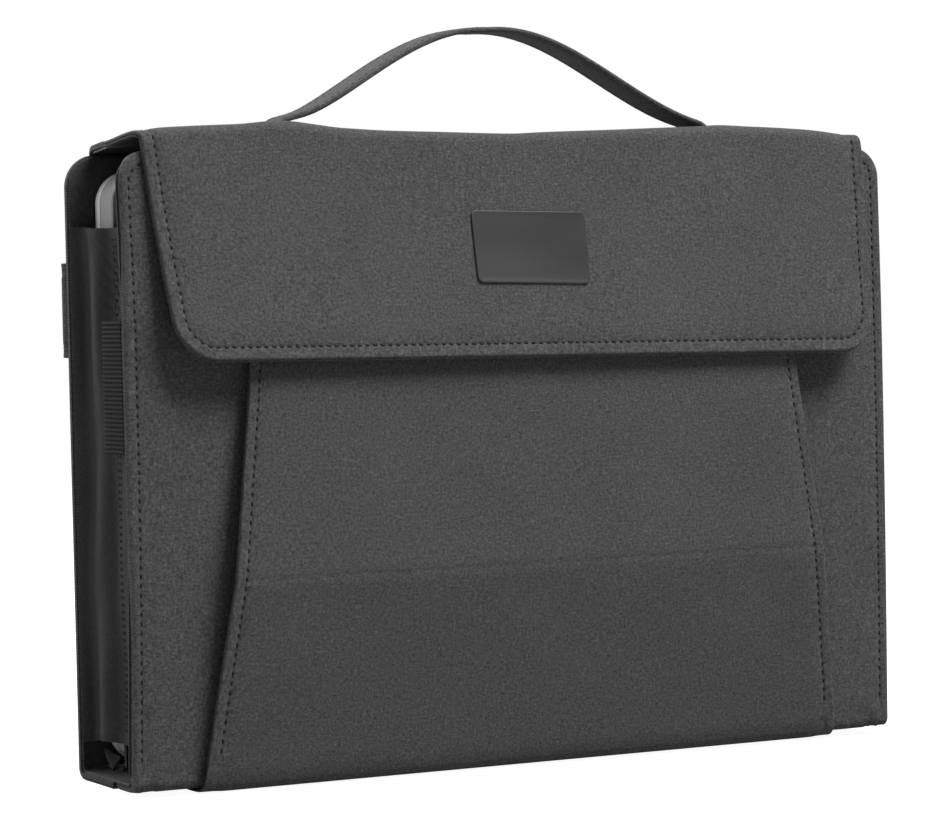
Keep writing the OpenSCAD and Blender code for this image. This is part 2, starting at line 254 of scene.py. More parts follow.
def aluminium(name="blasted_aluminium"):
    n = Nodes(name)
    g = n.noise(n.obj(), 5200.0, 2.0, 0.6)
    c = n.noise(n.obj(), 18.0, 2.0)
    n.link(n.ramp(n.math("ADD", n.math("MULTIPLY", g, 0.5), n.math("MULTIPLY", c, 0.5)), [(0.3, (0.42, 0.42, 0.425)), (0.7, (0.50, 0.50, 0.505))]), n.b.inputs["Base Color"])
    n.link(n.math("MULTIPLY_ADD", g, 0.16, 0.5), n.b.inputs["Roughness"])
    n.link(n.bump(g, 0.18, 0.00006), n.b.inputs["Normal"])
    n.shader(Metallic=0.3)
    return n.mat


def rim(name="lid_edge_painted_highlight"):
    n = Nodes(name)
    g = n.noise(n.obj(), 900.0, 2.0, 0.6)
    # painted highlight: the lid's edge gets a near-white colour standing in for the bright reflection along it
    n.link(n.ramp(g, [(0.3, (0.94, 0.945, 0.95)), (0.7, (0.97, 0.97, 0.975))]), n.b.inputs["Base Color"])
    n.link(n.math("MULTIPLY_ADD", g, 0.1, 0.38), n.b.inputs["Roughness"])
    n.shader(Metallic=0.0, Coat_Weight=0.6, Coat_Roughness=0.2)
    return n.mat


def satin(name="satin_plate"):
    n = Nodes(name)
    v = n.flat()
    g = n.noise(n.scaled(v, (2600, 2600, 2600)), 1.0, 3.0, 0.6)
    # painted sheen: w is a broad diagonal streak that lightens the plate's colour across it
    w = n.noise(n.scaled(v, (14, 40, 20), (0, 0, 0), (0, 0, 0.7)), 1.0, 1.0)
    f = n.math("ADD", n.math("MULTIPLY", g, 0.35), n.math("MULTIPLY", w, 0.65))
    n.link(n.ramp(f, [(0.25, (0.034, 0.034, 0.036)), (0.75, (0.052, 0.052, 0.054))]), n.b.inputs["Base Color"])
    n.link(n.math("MULTIPLY_ADD", w, 0.25, 0.28), n.b.inputs["Roughness"])
    n.link(n.bump(g, 0.15, 0.00005), n.b.inputs["Normal"])
    n.shader(Specular_IOR_Level=0.5)
    return n.mat


def plain(name, c0, c1, scale, rough, metal=0.0, bump=0.2, dist=0.0002):
    n = Nodes(name)
    g = n.noise(n.obj(), scale, 3.0, 0.6)
    n.link(n.ramp(g, [(0.3, c0), (0.7, c1)]), n.b.inputs["Base Color"])
    n.link(n.bump(g, bump, dist), n.b.inputs["Normal"])
    n.shader(Roughness=rough, Metallic=metal)
    return n.mat


MELANGE = melange()
MELANGE_BACK = melange("melange_back", 0.012, 0.110)
# a darker copy of the melange, used as painted shade on the panels' side faces
MELANGE_PAINTED_SHADE = melange("melange_painted_shade_sides", 0.006, 0.052)
TWILL = twill("black_twill_lining", sign=1.0)
CHEVRON = twill("black_twill_gusset", dark=0.004, zigzag=0.0075, light=0.090, sign=-1.0)
LINING = smooth_lining()
ELASTIC = elastic()
THREAD = thread()
ALU = aluminium()
RIM_PAINTED_HIGHLIGHT = rim()
SATIN = satin()
BOARD = plain("fibreboard", (0.20, 0.155, 0.10), (0.33, 0.27, 0.19), 420.0, 0.85)
STEEL = plain("nickelled_magnet", (0.45, 0.45, 0.46), (0.6, 0.6, 0.6), 900.0, 0.28, 1.0, 0.05)
RUBBER = plain("black_rubber", (0.012, 0.012, 0.012), (0.022, 0.022, 0.022), 1500.0, 0.8)
WEBBING = plain("webbing_core", (0.02, 0.02, 0.02), (0.045, 0.045, 0.045), 1200.0, 0.8)

# ---------------------------------------------------------------- sheets

rng = np.random.RandomState(7)


def unit(v):
    return v / max(np.linalg.norm(v), 1e-12)


def inset(pts, d):
    """The polygon with each edge moved inwards by d. Points run anticlockwise."""
    pts = [np.array(p, float) for p in pts]
    m = len(pts)
    lines = []
    for i in range(m):
        p, q = pts[i], pts[(i + 1) % m]
        t = unit(q - p)
        nrm = np.array([-t[1], t[0]])
        lines.append((p + nrm * d, t))
    out = []
    for i in range(m):
        p, t = lines[i - 1]
        q, u = lines[i]
        k = np.linalg.solve(np.array([[t[0], -u[0]], [t[1], -u[1]]]), q - p)
        out.append(p + t * k[0])
    return out


def ring(pts, rs, d, fracs, arc_n):
    """Points of the rounded outline, d inside it. fracs gives each edge's inner points as shares of its length."""
    p = inset(pts, d)
    m = len(p)
    corners = []
    for i in range(m):
        a0, c0, b0 = p[i - 1], p[i], p[(i + 1) % m]
        r = max(rs[i] - d, 0.25)
        u, v = unit(a0 - c0), unit(b0 - c0)
        half = math.acos(max(-1, min(1, float(u @ v)))) / 2
        c = c0 + unit(u + v) * r / math.sin(half)
        s, e_ = c0 + u * r / math.tan(half), c0 + v * r / math.tan(half)
        t0, t1 = math.atan2(*(s - c)[::-1]), math.atan2(*(e_ - c)[::-1])
        da = (t1 - t0 + 3 * math.pi) % (2 * math.pi) - math.pi
        corners.append([c + r * np.array([math.cos(t0 + da * k / arc_n), math.sin(t0 + da * k / arc_n)]) for k in range(arc_n + 1)])
    out = []
    for i in range(m):
        out += corners[i]
        s, e_ = corners[i][-1], corners[(i + 1) % m][0]
        out += [s + (e_ - s) * f for f in fracs[i]]
    return np.array(out)


def edge_fracs(pts, rs, step, rows=None):
    """Shares along each edge: rows gives the values of s to keep on edges that run along s."""
    out = []
    m = len(pts)
    for i in range(m):
        p, q = np.array(pts[i], float), np.array(pts[(i + 1) % m], float)
        if rows is not None and abs(q[1] - p[1]) > abs(q[0] - p[0]):
            lo, hi = sorted((p[1], q[1]))
            pad = max(max(rs), 0.5) if False else 0.5
            f = sorted(((s - p[1]) / (q[1] - p[1])) for s in rows if lo + pad < s < hi - pad)
            # the edge starts after its corner arc, so shares are stretched onto what is left
            a0 = max(rs[i], 0.25) / abs(q[1] - p[1])
            a1 = 1 - max(rs[(i + 1) % m], 0.25) / abs(q[1] - p[1])
            out.append([(v - a0) / (a1 - a0) for v in f if a0 + 0.004 < v < a1 - 0.004])
        else:
            k = max(int(np.linalg.norm(q - p) / step), 1)
            out.append([(j + 1) / (k + 1) for j in range(k)])
    return out


def inside(pts, q, margin):
    pts = np.array(pts)
    ok = np.ones(len(q), bool)
    for i in range(len(pts)):
        p, t = pts[i], unit(pts[(i + 1) % len(pts)] - pts[i])
        ok &= ((q - p) @ np.array([-t[1], t[0]])) > margin
    return ok


class Builder:
    """Collects points in sheet coordinates (x, s, h) in mm, their places and faces."""

    def __init__(self, mapf):
        self.mapf = mapf
        self.p, self.f, self.m = [], [], []
        self.n = 0

    def add(self, pts):
        pts = np.asarray(pts, float)
        self.p.append(pts)
        self.n += len(pts)
        return list(range(self.n - len(pts), self.n))

    def face(self, f, mat=0):
        self.f.append(f)
        self.m.append(mat)

    def bridge(self, a, b, mat=0, closed=True):
        k = len(a)
        for i in range(k if closed else k - 1):
            j = (i + 1) % k
            self.face((a[i], a[j], b[j], b[i]), mat)

    def make(self, name, mats, smooth=True, orient=True):
        flat = np.concatenate(self.p)
        co = self.mapf(flat) * MM
        me = bpy.data.meshes.new(name)
        me.from_pydata(co.tolist(), [], [tuple(f) for f in self.f])
        at = me.attributes.new("flat", "FLOAT_VECTOR", "POINT")
        at.data.foreach_set("vector", (flat * MM).astype(np.float32).ravel())
        for mm_ in mats:
            me.materials.append(mm_)
        me.polygons.foreach_set("material_index", np.array(self.m, np.int32))
        me.polygons.foreach_set("use_smooth", np.full(len(self.f), smooth))
        me.validate()
        me.update()
        if orient:
            bm = bmesh.new()
            bm.from_mesh(me)
            bmesh.ops.recalc_face_normals(bm, faces=bm.faces)
            bm.to_mesh(me)
            bm.free()
        ob = bpy.data.objects.new(name, me)
        bpy.context.scene.collection.objects.link(ob)
        return ob


def sheet(name, pts, rs, mapf, top, bot, rings, mats, step=4.0, rows=None, arc_n=10, cols=4.0, bot_rings=None, region=(0, 0, 0)):
    """A closed sheet. top and bot give its faces' heights from (d, x, s), d being the distance in from the edge. region gives the material of the top, edge and back."""
    b = Builder(mapf)
    fr = edge_fracs(pts, rs, step, rows)

    def side(h, ring_list, mat, flip):
        prev, first, last_pts = None, None, None
        for d in ring_list:
            q = ring(pts, rs, d, fr, arc_n)
            hh = h(np.full(len(q), float(d)), q[:, 0], q[:, 1])
            ids = b.add(np.column_stack([q, hh]))
            if prev is not None:
                b.bridge(*((ids, prev) if flip else (prev, ids)), mat=mat)
            else:
                first = ids
            prev, last_pts = ids, q
        dl = ring_list[-1]
        inner = inset(pts, dl)
        lo, hi = np.min(inner, 0), np.max(inner, 0)
        xs = np.arange(math.ceil(lo[0] / cols) * cols, hi[0], cols)
        ss = np.array(rows) if rows is not None else np.arange(math.ceil(lo[1] / cols) * cols, hi[1], cols)
        ss = ss[(ss > lo[1]) & (ss < hi[1])]
        g = np.array([(x, s) for s in ss for x in xs]).reshape(-1, 2)
        r_in = max(max(rs) - dl, 0.0)
        if len(g):
            g = g[inside(inner, g, 1.4)]
            # keep off rounded corners
            if r_in > 1 and len(g):
                keep = np.ones(len(g), bool)
                for i in range(len(pts)):
                    r_i = max(rs[i] - dl, 0.0)
                    if r_i > 1:
                        c0 = np.array(inner[i])
                        u, v = unit(np.array(inner[i - 1]) - c0), unit(np.array(inner[(i + 1) % len(pts)]) - c0)
                        half = math.acos(float(u @ v)) / 2
                        c = c0 + unit(u + v) * r_i / math.sin(half)
                        rel = g - c
                        out_ = (rel @ unit(u + v) < -r_i * math.sin(half) * 0.9999 + 0) & (np.linalg.norm(g - c0, axis=1) < r_i / math.tan(half) + 2)
                        near = np.linalg.norm(rel, axis=1) > r_i - 1.2
                        keep &= ~(near & (np.linalg.norm(g - c0, axis=1) < r_i / math.tan(half) * 1.05 + 1.0))
                g = g[keep]
        coords = [Vector(p) for p in last_pts.tolist()] + [Vector(p) for p in g.tolist()]
        k = len(last_pts)
        res = delaunay_2d_cdt(coords, [(i, (i + 1) % k) for i in range(k)], [], 1, 1e-5)
        verts, faces, orig = res[0], res[2], res[3]
        ids = {}
        new_pts, new_i = [], []
        for i, o in enumerate(orig):
            if o and o[0] < k:
                ids[i] = prev[o[0]]
            else:
                new_pts.append((verts[i][0], verts[i][1]))
                new_i.append(i)
        if new_pts:
            q = np.array(new_pts)
            dd = np.min(np.array([(q - np.array(p)) @ np.array([-t[1], t[0]]) for p, t in ((np.array(inner[i]), unit(np.array(inner[(i + 1) % len(inner)]) - np.array(inner[i]))) for i in range(len(inner)))]), 0) + dl
            added = b.add(np.column_stack([q, h(dd, q[:, 0], q[:, 1])]))
            for i, g_ in zip(new_i, added):
                ids[i] = g_
        for f in faces:
            f = [ids[i] for i in f]
            if len(set(f)) >= 3:
                b.face(tuple(reversed(f)) if flip else tuple(f), mat)
        return first

    t0 = side(top, rings, region[0], False)
    b0 = side(bot, bot_rings or rings, region[2], True)
    b.bridge(b0, t0, mat=region[1])
    ob = b.make(name, mats)
    ob.data.set_sharp_from_angle(angle=math.radians(50))
    return ob


def dashes(name, path, hfun, mapf, pitch=3.7, length=2.15, w=1.0, ht=0.56, mat=None, closed=False, start=0.0, end=0.0, slant=0.15):
    """Thread stitches along a path of (x, s) points, lying on the sheet, each with its ends pulled in."""
    path = np.array(path, float)
    if closed:
        path = np.vstack([path, path[:1]])
    seg = np.linalg.norm(np.diff(path, axis=0), axis=1)
    acc = np.concatenate([[0], np.cumsum(seg)])
    b = Builder(mapf)
    n = int((acc[-1] - start - end) / pitch)
    prof = [(-0.5, 0.30, -0.34), (-0.36, 0.85, -0.02), (0.0, 1.0, 0.07), (0.36, 0.85, -0.02), (0.5, 0.30, -0.34)]
    for i in range(n):
        c = start + (i + 0.5) * pitch + (acc[-1] - start - end - n * pitch) / 2
        L = length * (1 + 0.08 * math.sin(i * 2.4))
        t = np.interp(c, acc, np.arange(len(path)))
        j = min(int(t), len(path) - 2)
        k = c - acc[j]
        p0 = path[j] + (path[j + 1] - path[j]) * (k / max(seg[j], 1e-9))
        T = unit(path[j + 1] - path[j])
        T = unit(T + (slant + 0.06 * math.sin(i * 1.7)) * np.array([-T[1], T[0]]))
        N = np.array([-T[1], T[0]])
        rings_ = []
        for l, sc, dz in prof:
            q0 = p0 + T * l * L
            h0 = float(hfun(q0[0], q0[1]))
            rr = []
            for q in range(6):
                an = q * math.pi / 3
                xy = q0 + N * (w / 2 * sc * math.cos(an))
                rr.append((xy[0], xy[1], h0 + dz + ht / 2 * sc * math.sin(an) + 0.06))
            rings_.append(b.add(rr))
        for u_, v_ in zip(rings_, rings_[1:]):
            b.bridge(u_, v_)
        b.face(tuple(reversed(rings_[0])))
        b.face(tuple(rings_[-1]))
    return b.make(name, [mat or THREAD])


def smooth01(t):
    t = np.clip(t, 0, 1)
    return t * t * (3 - 2 * t)


def wob(x, s, a, k=(0.045, 0.06), ph=0.0):
    """Slow unevenness of a padded surface."""
    return a * (np.sin(x * k[0] + ph) * np.sin(s * k[1] + 1.3 * ph) + 0.5 * np.sin(x * k[0] * 2.3 + 2.1 + ph) * np.sin(s * k[1] * 1.9 + 0.4))


def edge_round(d, T, r):
    """Height of a face near its rounded edge."""
    return T - r + np.sqrt(np.maximum(r * r - np.maximum(r - d, 0) ** 2, 0))


def profile_map(pts, n_out=1):
    """A map for a sheet bent along a profile in (y, z): s is measured along the profile, h outwards from it."""
    pts = np.array(pts, float)
    seg = np.linalg.norm(np.diff(pts, axis=0), axis=1)
    acc = np.concatenate([[0], np.cumsum(seg)])
    t = np.gradient(pts, acc, axis=0)
    t /= np.linalg.norm(t, axis=1)[:, None]
    nrm = np.column_stack([t[:, 1], -t[:, 0]]) * n_out

    def f(P, s0=0.0):
        s = P[:, 1] - s0
        y = np.interp(s, acc, pts[:, 0])
        z = np.interp(s, acc, pts[:, 1])
        ny = np.interp(s, acc, nrm[:, 0])
        nz = np.interp(s, acc, nrm[:, 1])
        # past the ends, carry straight on
        for lim, side in ((0.0, 0), (acc[-1], -1)):
            over = (s < lim) if side == 0 else (s > lim)
            if over.any():
                y[over] = pts[side, 0] + t[side, 0] * (s[over] - lim)
                z[over] = pts[side, 1] + t[side, 1] * (s[over] - lim)
        return np.column_stack([P[:, 0], y + ny * P[:, 2], z + nz * P[:, 2]])

    f.length = acc[-1]
    f.acc, f.pts = acc, pts
    return f


def arc_points(c, r, a0, a1, n=14):
    return [(c[0] + r * math.cos(math.radians(a0 + (a1 - a0) * i / n)), c[1] + r * math.sin(math.radians(a0 + (a1 - a0) * i / n))) for i in range(n + 1)]


def board(name, hw, s0, s1, mapf, h0, h1, node, body, r=4.0, hw1=None):
    """The stiffener inside a panel."""
    hw1 = hw if hw1 is None else hw1
    ob = sheet(name, [(-hw, s0), (hw, s0), (hw1, s1), (-hw1, s1)], [r] * 4, mapf, lambda d, x, s: edge_round(d, h1, 0.2), lambda d, x, s: d * 0 + h0, [0, 0.1, 0.2, 3], [BOARD], bot_rings=[0, 3], cols=12.0, step=12.0, arc_n=6)
    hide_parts(node)
    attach(ob, body)
    return ob


def discs(name, centres, mapf, h0, h1, node, body, r=6.0):
    b = Builder(mapf)
    for cx_, cs_ in centres:
        rings_ = []
        for rr, h in ((0.02, h0), (r - 0.25, h0), (r, h0 + 0.2), (r, h1 - 0.2), (r - 0.25, h1), (0.02, h1)):
            rings_.append(b.add([(cx_ + rr * math.cos(q), cs_ + rr * math.sin(q), h) for q in np.linspace(0, 2 * math.pi, 33)[:-1]]))
        for u_, v_ in zip(rings_, rings_[1:]):
            b.bridge(u_, v_)
        b.face(tuple(reversed(rings_[0])))
        b.face(tuple(rings_[-1]))
    ob = b.make(name, [STEEL])
    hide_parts(node)
    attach(ob, body)
    return ob


def rows_for(lo, hi, step, fine=()):
    """Row positions: coarse, and fine between each (start, end, step) of fine."""
    out = []
    s = lo
    while s < hi:
        st = step
        for a0, b0, f0 in fine:
            if a0 <= s < b0:
                st = f0
        out.append(s)
        s += st
    return out


HW = 180.5
EDGE = [0, 0.12, 0.35, 0.75, 1.3, 2.2, 3.4, 4.4]


def stitch_rings(s0, extra=(8.0, 11.0)):
    return EDGE + [s0 - 0.55, s0 - 0.25, s0, s0 + 0.25, s0 + 0.55, s0 + 1.3] + list(extra)


# ---------------------------------------------------------------- rear panel and bottom

BOT_R = 5.0
# from under the case, back round the rear corner and up the rear panel; the profile is the sheet's outer face
rear_prof = [(-8.0, 0.0), (25 - BOT_R, 0.0)] + arc_points((25 - BOT_R, BOT_R), BOT_R, -90, 0)[1:] + [(25.0, 120.0), (25.0, 250.0)]
rear_map0 = profile_map(rear_prof, 1)
REAR_L = rear_map0.length
S_UP = 28 + BOT_R * math.pi / 2      # s where the rear panel starts


ST = 4.8


def drop(x, y):
    """The bottom sags a little, more towards the front and the left."""
    return 1.9 * np.clip((22 - y) / 47, 0, 1) * (1 - 0.45 * (x + 180) / 360)


def lowered(out, z0=6.0, z1=36.0):
    out[:, 2] -= drop(out[:, 0], out[:, 1]) * (1 - smooth01((out[:, 2] - z0) / (z1 - z0)))
    return out


def rear_map(P):
    """h is 0 at the inner face and 3 at the outer face."""
    Q = P.copy()
    Q[:, 2] = P[:, 2] - 3.0
    return lowered(rear_map0(Q))


def rear_top(d, x, s):
    z = s - S_UP
    h = edge_round(d, 3.0, 1.2)
    up_ = smooth01((z - 1) / 6)
    h = h - 0.32 * np.exp(-((d - ST) / 0.42) ** 2) * up_
    h = h + (0.5 * smooth01((d - ST) / 9) + wob(x, s, 0.16)) * up_ * smooth01((d - ST) / 6)
    h = h - 0.25 * np.exp(-((z - 1) / 1.2) ** 2) * smooth01(d / 3)
    return h


def rear_bot(d, x, s):
    return np.where(d > 5.0, 2.0, 0.0) + np.maximum(0.5 - d, 0) * 0.5


rows = rows_for(0, REAR_L, 4.5, [(24, 40, 0.9)])
rect = [(-HW, 0), (HW, 0), (HW, REAR_L), (-HW, REAR_L)]
rear_cover = sheet("rear_cover_fabric", rect, [0.3, 0.3, 13, 13], rear_map, rear_top, rear_bot, stitch_rings(ST), [MELANGE, MELANGE_BACK, TWILL, MELANGE_PAINTED_SHADE], rows=rows, bot_rings=[0, 0.5, 2.5, 4.95, 5.05, 9], region=(0, 2, 1))
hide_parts("rear_cover", "bottom_cover")
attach(rear_cover, "rear")


def border_path(hw, s0, s1, d, r, step=1.0):
    """Up the left side, across the top and down the right side, d inside the outline."""
    r = r - d
    x = hw - d
    t = s1 - d
    p = [(-x, s) for s in np.arange(s0, t - r, step)]
    p += [(-x + r - r * math.cos(q), t - r + r * math.sin(q)) for q in np.linspace(0, math.pi / 2, 12)]
    p += [(v, t) for v in np.arange(-x + r + step, x - r, step)]
    p += [(x - r + r * math.sin(q), t - r + r * math.cos(q)) for q in np.linspace(0, math.pi / 2, 12)]
    p += [(x, s) for s in np.arange(t - r - step, s0, -step)]
    return p


def seam(name, body, path, hfun, mapf, slot_="melange_fabric", **kw):
    ob = dashes(name, path, hfun, mapf, **kw)
    if body:
        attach(ob, body)
    return ob


def paint_shade_on_sides(ob, index=3):
    """Painted shade: faces on the panel's left and right sides get the darker copy of the melange, standing in for the
    shade they lie in.
    """
    for f in ob.data.polygons:
        if abs(f.normal.x) > 0.62 and f.material_index == 0:
            f.material_index = index


# painted shade on the rear panel's side faces
paint_shade_on_sides(rear_cover)
seam("rear_stitching", "rear", border_path(HW, S_UP + 6, REAR_L, ST, 13), lambda x, s: 2.78, rear_map)

# lining of the rear panel and the bottom, black twill
lin_prof = [(-21.6, 3.0), (19.0, 3.0)] + arc_points((19.0, 6.0), 3.0, -90, 0, 8)[1:] + [(22.0, 120.0), (22.0, 249.2)]
lin_map0 = profile_map(lin_prof, 1)
LIN_L = lin_map0.length


def lin_map(P):
    Q = P.copy()
    Q[:, 2] = -P[:, 2]
    return lowered(lin_map0(Q))


def lin_top(d, x, s):
    return edge_round(d, 0.8, 0.35) + (wob(x, s, 0.12, (0.06, 0.05), 1.0) - 0.12) * smooth01((d - 8) / 10) * 0.6 - 0.15 * np.exp(-((d - 4.4) / 0.4) ** 2)


def flat_bot(d, x, s):
    return np.zeros_like(d)


rows = rows_for(0, LIN_L, 5, [(38, 48, 0.9)])
lin_r = [(-HW + 0.7, 0), (HW - 0.7, 0), (HW - 0.7, LIN_L), (-HW + 0.7, LIN_L)]
main_lining = sheet("main_lining_fabric", lin_r, [0.5, 0.5, 12.3, 12.3], lin_map, lin_top, flat_bot, [0, 0.1, 0.35, 1, 3.9, 4.2, 4.4, 4.6, 4.9, 8, 12], [TWILL], rows=rows, bot_rings=[0, 3, 8])
board("bottom_board_panel", 168.0, 3.0, 37.0, lin_map, -1.9, -0.1, "bottom_board", "rear", 3)
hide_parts("rear_lining", "bottom_lining")
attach(main_lining, "rear")

# ---------------------------------------------------------------- front panel

FR = 4.0
front_prof = [(-8.0, 0.0), (-25 + FR, 0.0)] + arc_points((-25 + FR, FR), FR, 270, 180)[1:] + [(-25.0, 60), (-25.0, 120), (-25.0, 250.0)]
front_map0 = profile_map(front_prof, -1)
FRONT_L = front_map0.length
F_UP = 17 - FR + FR * math.pi / 2


def bow(x, z):
    """The padded front stands a little proud, most at its left edge."""
    v = np.interp(z, [0, 7, 25, 40, 70, 90, 130, 165, 185, 205, 242, 250], [0, 0, 0.9, 1.9, 3.4, 4.1, 4.7, 4.7, 4.3, 3.3, 1.1, 0.8])
    return v * (0.42 + 0.58 * smooth01((-x - 20) / 160) - 0.12 * smooth01((x - 20) / 160))


def front_map(P):
    Q = P.copy()
    Q[:, 2] = P[:, 2] - 3.0
    out = front_map0(Q)
    z = out[:, 2]
    out[:, 1] -= bow(out[:, 0], z) * (P[:, 1] > 10)
    out[:, 0] += 1.1 * smooth01((P[:, 0] - 60) / 110)
    # the turned edge draws in a little towards the two left corners
    e = np.clip((-P[:, 0] - HW + ST) / ST, 0, 1)
    out[:, 0] += 1.4 * e * np.interp(z, [0, 60, 110, 175, 215, 250], [1, 1, 0, 0, 1, 1])
    return lowered(out, 10.0, 70.0)


def front_top(d, x, s):
    z = s - F_UP
    h = edge_round(d, 3.0, 1.9)
    up_ = smooth01((z - 1) / 6)
    h = h - 0.30 * np.exp(-((d - ST) / 0.6) ** 2) * up_
    h = h + (0.45 * smooth01((d - ST) / 7) + wob(x, s, 0.14, (0.05, 0.043), 2.0)) * up_ * smooth01((d - ST) / 6)
    return h


rows = rows_for(0, FRONT_L, 4.5, [(11, 24, 0.8)])
rect = [(-HW, 0), (HW, 0), (HW, FRONT_L), (-HW, FRONT_L)]
front_cover = sheet("front_cover_fabric", rect, [0.3, 0.3, 13, 13], front_map, front_top, rear_bot, stitch_rings(ST), [MELANGE, MELANGE_BACK, TWILL, MELANGE_PAINTED_SHADE], rows=rows, bot_rings=[0, 0.5, 2.5, 4.95, 5.05, 9], region=(0, 2, 1))
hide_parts("front_cover")
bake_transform(front_cover)
st = seam("front_stitching", None, border_path(HW, F_UP + 6, FRONT_L, ST, 13), lambda x, s: 2.78, front_map)
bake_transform(st)


def front_lin_map(P):
    out = np.column_stack([P[:, 0] + 1.1 * smooth01((P[:, 0] - 60) / 110), -22.0 + P[:, 2], P[:, 1]])
    out[:, 1] -= bow(P[:, 0], P[:, 1])
    return lowered(out, 10.0, 70.0)


fl = [(-HW + 0.7, 4.2), (HW - 0.7, 4.2), (HW - 0.7, 249.2), (-HW + 0.7, 249.2)]
front_lining = sheet("front_lining_fabric", fl, [5, 5, 12.3, 12.3], front_lin_map, lin_top, flat_bot, [0, 0.1, 0.35, 1, 3.9, 4.2, 4.4, 4.6, 4.9, 8, 12], [TWILL], bot_rings=[0, 3, 8], cols=6.0)
board("front_board_panel", HW - 5, 5.0, 244.5, lambda P: front_lin_map(P * [1, 1, -1]), 0.1, 1.9, "front_board", "front", 10)
discs("front_magnet_discs", [(-60, 160), (60, 160)], lambda P: front_lin_map(P * [1, 1, -1]), 1.95, 2.6, "front_magnets", "front")
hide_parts("front_lining")
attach(front_lining, "front")

# ---------------------------------------------------------------- top and flap

T0 = np.array([25.0, 250.4])
tt = math.radians(5.2)
t_dir = np.array([-math.cos(tt), math.sin(tt)])
t_nrm = np.array([math.sin(tt), math.cos(tt)])


LX = np.linspace(-182, 182, 365)
LZ = np.interp(LX, [-182, -172, -160, -138, -124, -112, -102, -92, -82, -60, -44, 0, 41, 70, 90, 101, 116, 131, 147, 160, 182], [0.3, 0.4, 1.2, 2.0, 2.5, 3.7, 3.6, 2.2, 0.9, -0.2, -0.7, -1.7, -0.3, 0.5, 1.2, 1.9, 1.0, 0.4, -0.4, -1.8, -2.4])
LZ = np.convolve(np.pad(LZ, 6, mode="edge"), np.hanning(15)[1:-1] / np.hanning(15).sum(), mode="valid")


def lift(x):
    """The top ridge stands higher beside the handle's ends and sags between them."""
    return np.interp(x, LX, LZ)


# rear band: up the outside of the rear panel, over the edge and forward to the middle of the top
p_top0 = T0 + t_nrm * 3.3
band = [(26.4, 232.0), (26.4, 247.5)]
c_ = (22.9, 250.0)
band += [(22.9 + 3.6 * math.cos(math.radians(q)), 250.0 + 3.9 * math.sin(math.radians(q))) for q in np.linspace(0, 84, 10)]
MID = 24.0
p_mid = p_top0 + t_dir * MID
band += [tuple(p_mid)]
band_map0 = profile_map(band, 1)
BAND_L = band_map0.length


def ridge_lift(out, w):
    out[:, 2] += lift(out[:, 0]) * w
    return out


def band_map(P):
    s = P[:, 1]
    out = band_map0(P)
    out[:, 2] -= 1.15 * smooth01((s - BAND_L + 9) / 3)       # its front end is tucked under the flap's
    return ridge_lift(out, smooth01((s - 16) / 24) * 0.6)


def band_top(d, x, s):
    return edge_round(np.minimum(d, 3), 0.0, 0.6) - 0.22 * np.exp(-((d - 4.2) / 0.4) ** 2) + wob(x, s, 0.1) * smooth01((d - 4) / 5)


def band_bot(d, x, s):
    return -1.3 - 1.1 * smooth01((s - 17) / 6) + np.maximum(0.6 - d, 0) * 0.4


TW = 167.6
br = [(-TW, 0), (TW, 0), (TW + 1.8, BAND_L), (-TW - 1.8, BAND_L)]
rows = rows_for(0, BAND_L, 3.5, [(14, 24, 0.7)])
top_rear = sheet("top_rear_fabric", br, [3, 3, 0.5, 0.5], band_map, band_top, band_bot, [0, 0.12, 0.35, 0.7, 1.6, 3.6, 3.95, 4.2, 4.45, 4.8, 6], [MELANGE], rows=rows, bot_rings=[0, 0.6, 2, 6])
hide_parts("top_cover")
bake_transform(top_rear)
path = [(x, 4.2) for x in np.arange(-TW + 5, TW - 5, 1.5)]
st = dashes("top_band_stitching", path, lambda x, s: -0.2, band_map)
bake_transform(st)

# flap: from the middle of the top, over the crease and down
P_CR = np.array([-27.0, 258.2])
fa = math.radians(9.1)
f_dir = np.array([-math.sin(fa), -math.cos(fa)])
f_nrm = np.array([-math.cos(fa), math.sin(fa)])
f0 = P_CR + f_nrm * 0.6
t_end = p_top0 + t_dir * 46.5
MID = 17.0
p_mid = p_top0 + t_dir * MID
flap_pts = [tuple(p_mid), tuple(p_top0 + t_dir * 30), tuple(t_end)]
f_start = f0 + f_dir * 4.5
# a quarter bend between the top and the flap
corner_pt = None
A = np.array([[t_dir[0], -f_dir[0]], [t_dir[1], -f_dir[1]]])
k_ = np.linalg.solve(A, f_start - t_end)
corner_pt = t_end + t_dir * k_[0]
for q in np.linspace(0, 1, 16)[1:]:
    flap_pts.append(tuple((1 - q) ** 2 * t_end + 2 * (1 - q) * q * corner_pt + q * q * f_start))
FL_END = 94.0
flap_pts += [tuple(f0 + f_dir * v) for v in (20, 40, 60, 80, FL_END)]
flap_map0 = profile_map(flap_pts, 1)
FLAP_L = flap_map0.length
S_CR = 29.5 + np.linalg.norm(f_start - t_end) * 0.55      # about where the crease is
S_DOWN = FLAP_L - (FL_END - 4.5)


def flap_map(P, nominal=False):
    s = P[:, 1]
    out = flap_map0(P)
    down = np.clip((s - S_DOWN) / (FLAP_L - S_DOWN), 0, 1.1)
    x = P[:, 0]
    out[:, 2] -= 2.5 * (x / 165) * down                      # hangs a little askew
    out[:, 1] -= (1.1 * (-x / 165) + 0.2) * down              # and stands off more at its left
    out[:, 1] += 1.2 * np.sin(np.pi * np.clip(down, 0, 1)) * 0.8 - 1.0 * down * 0
    top_w = 0.5 + 0.5 * smooth01(s / 26)
    out[:, 2] += lift(x) * np.where(s < S_DOWN, top_w, 1 - smooth01(down * 2.6))
    return out


def flap_hw(s):
    down = np.clip((s - S_DOWN) / (FLAP_L - S_DOWN), 0, 1)
    return 169.3 + 2.0 * smooth01(s / 26) - 7.8 * down ** 1.05


# a sheet with straight edges in (x, s); the taper and the barrel curve come in the map
FHW = 173.0


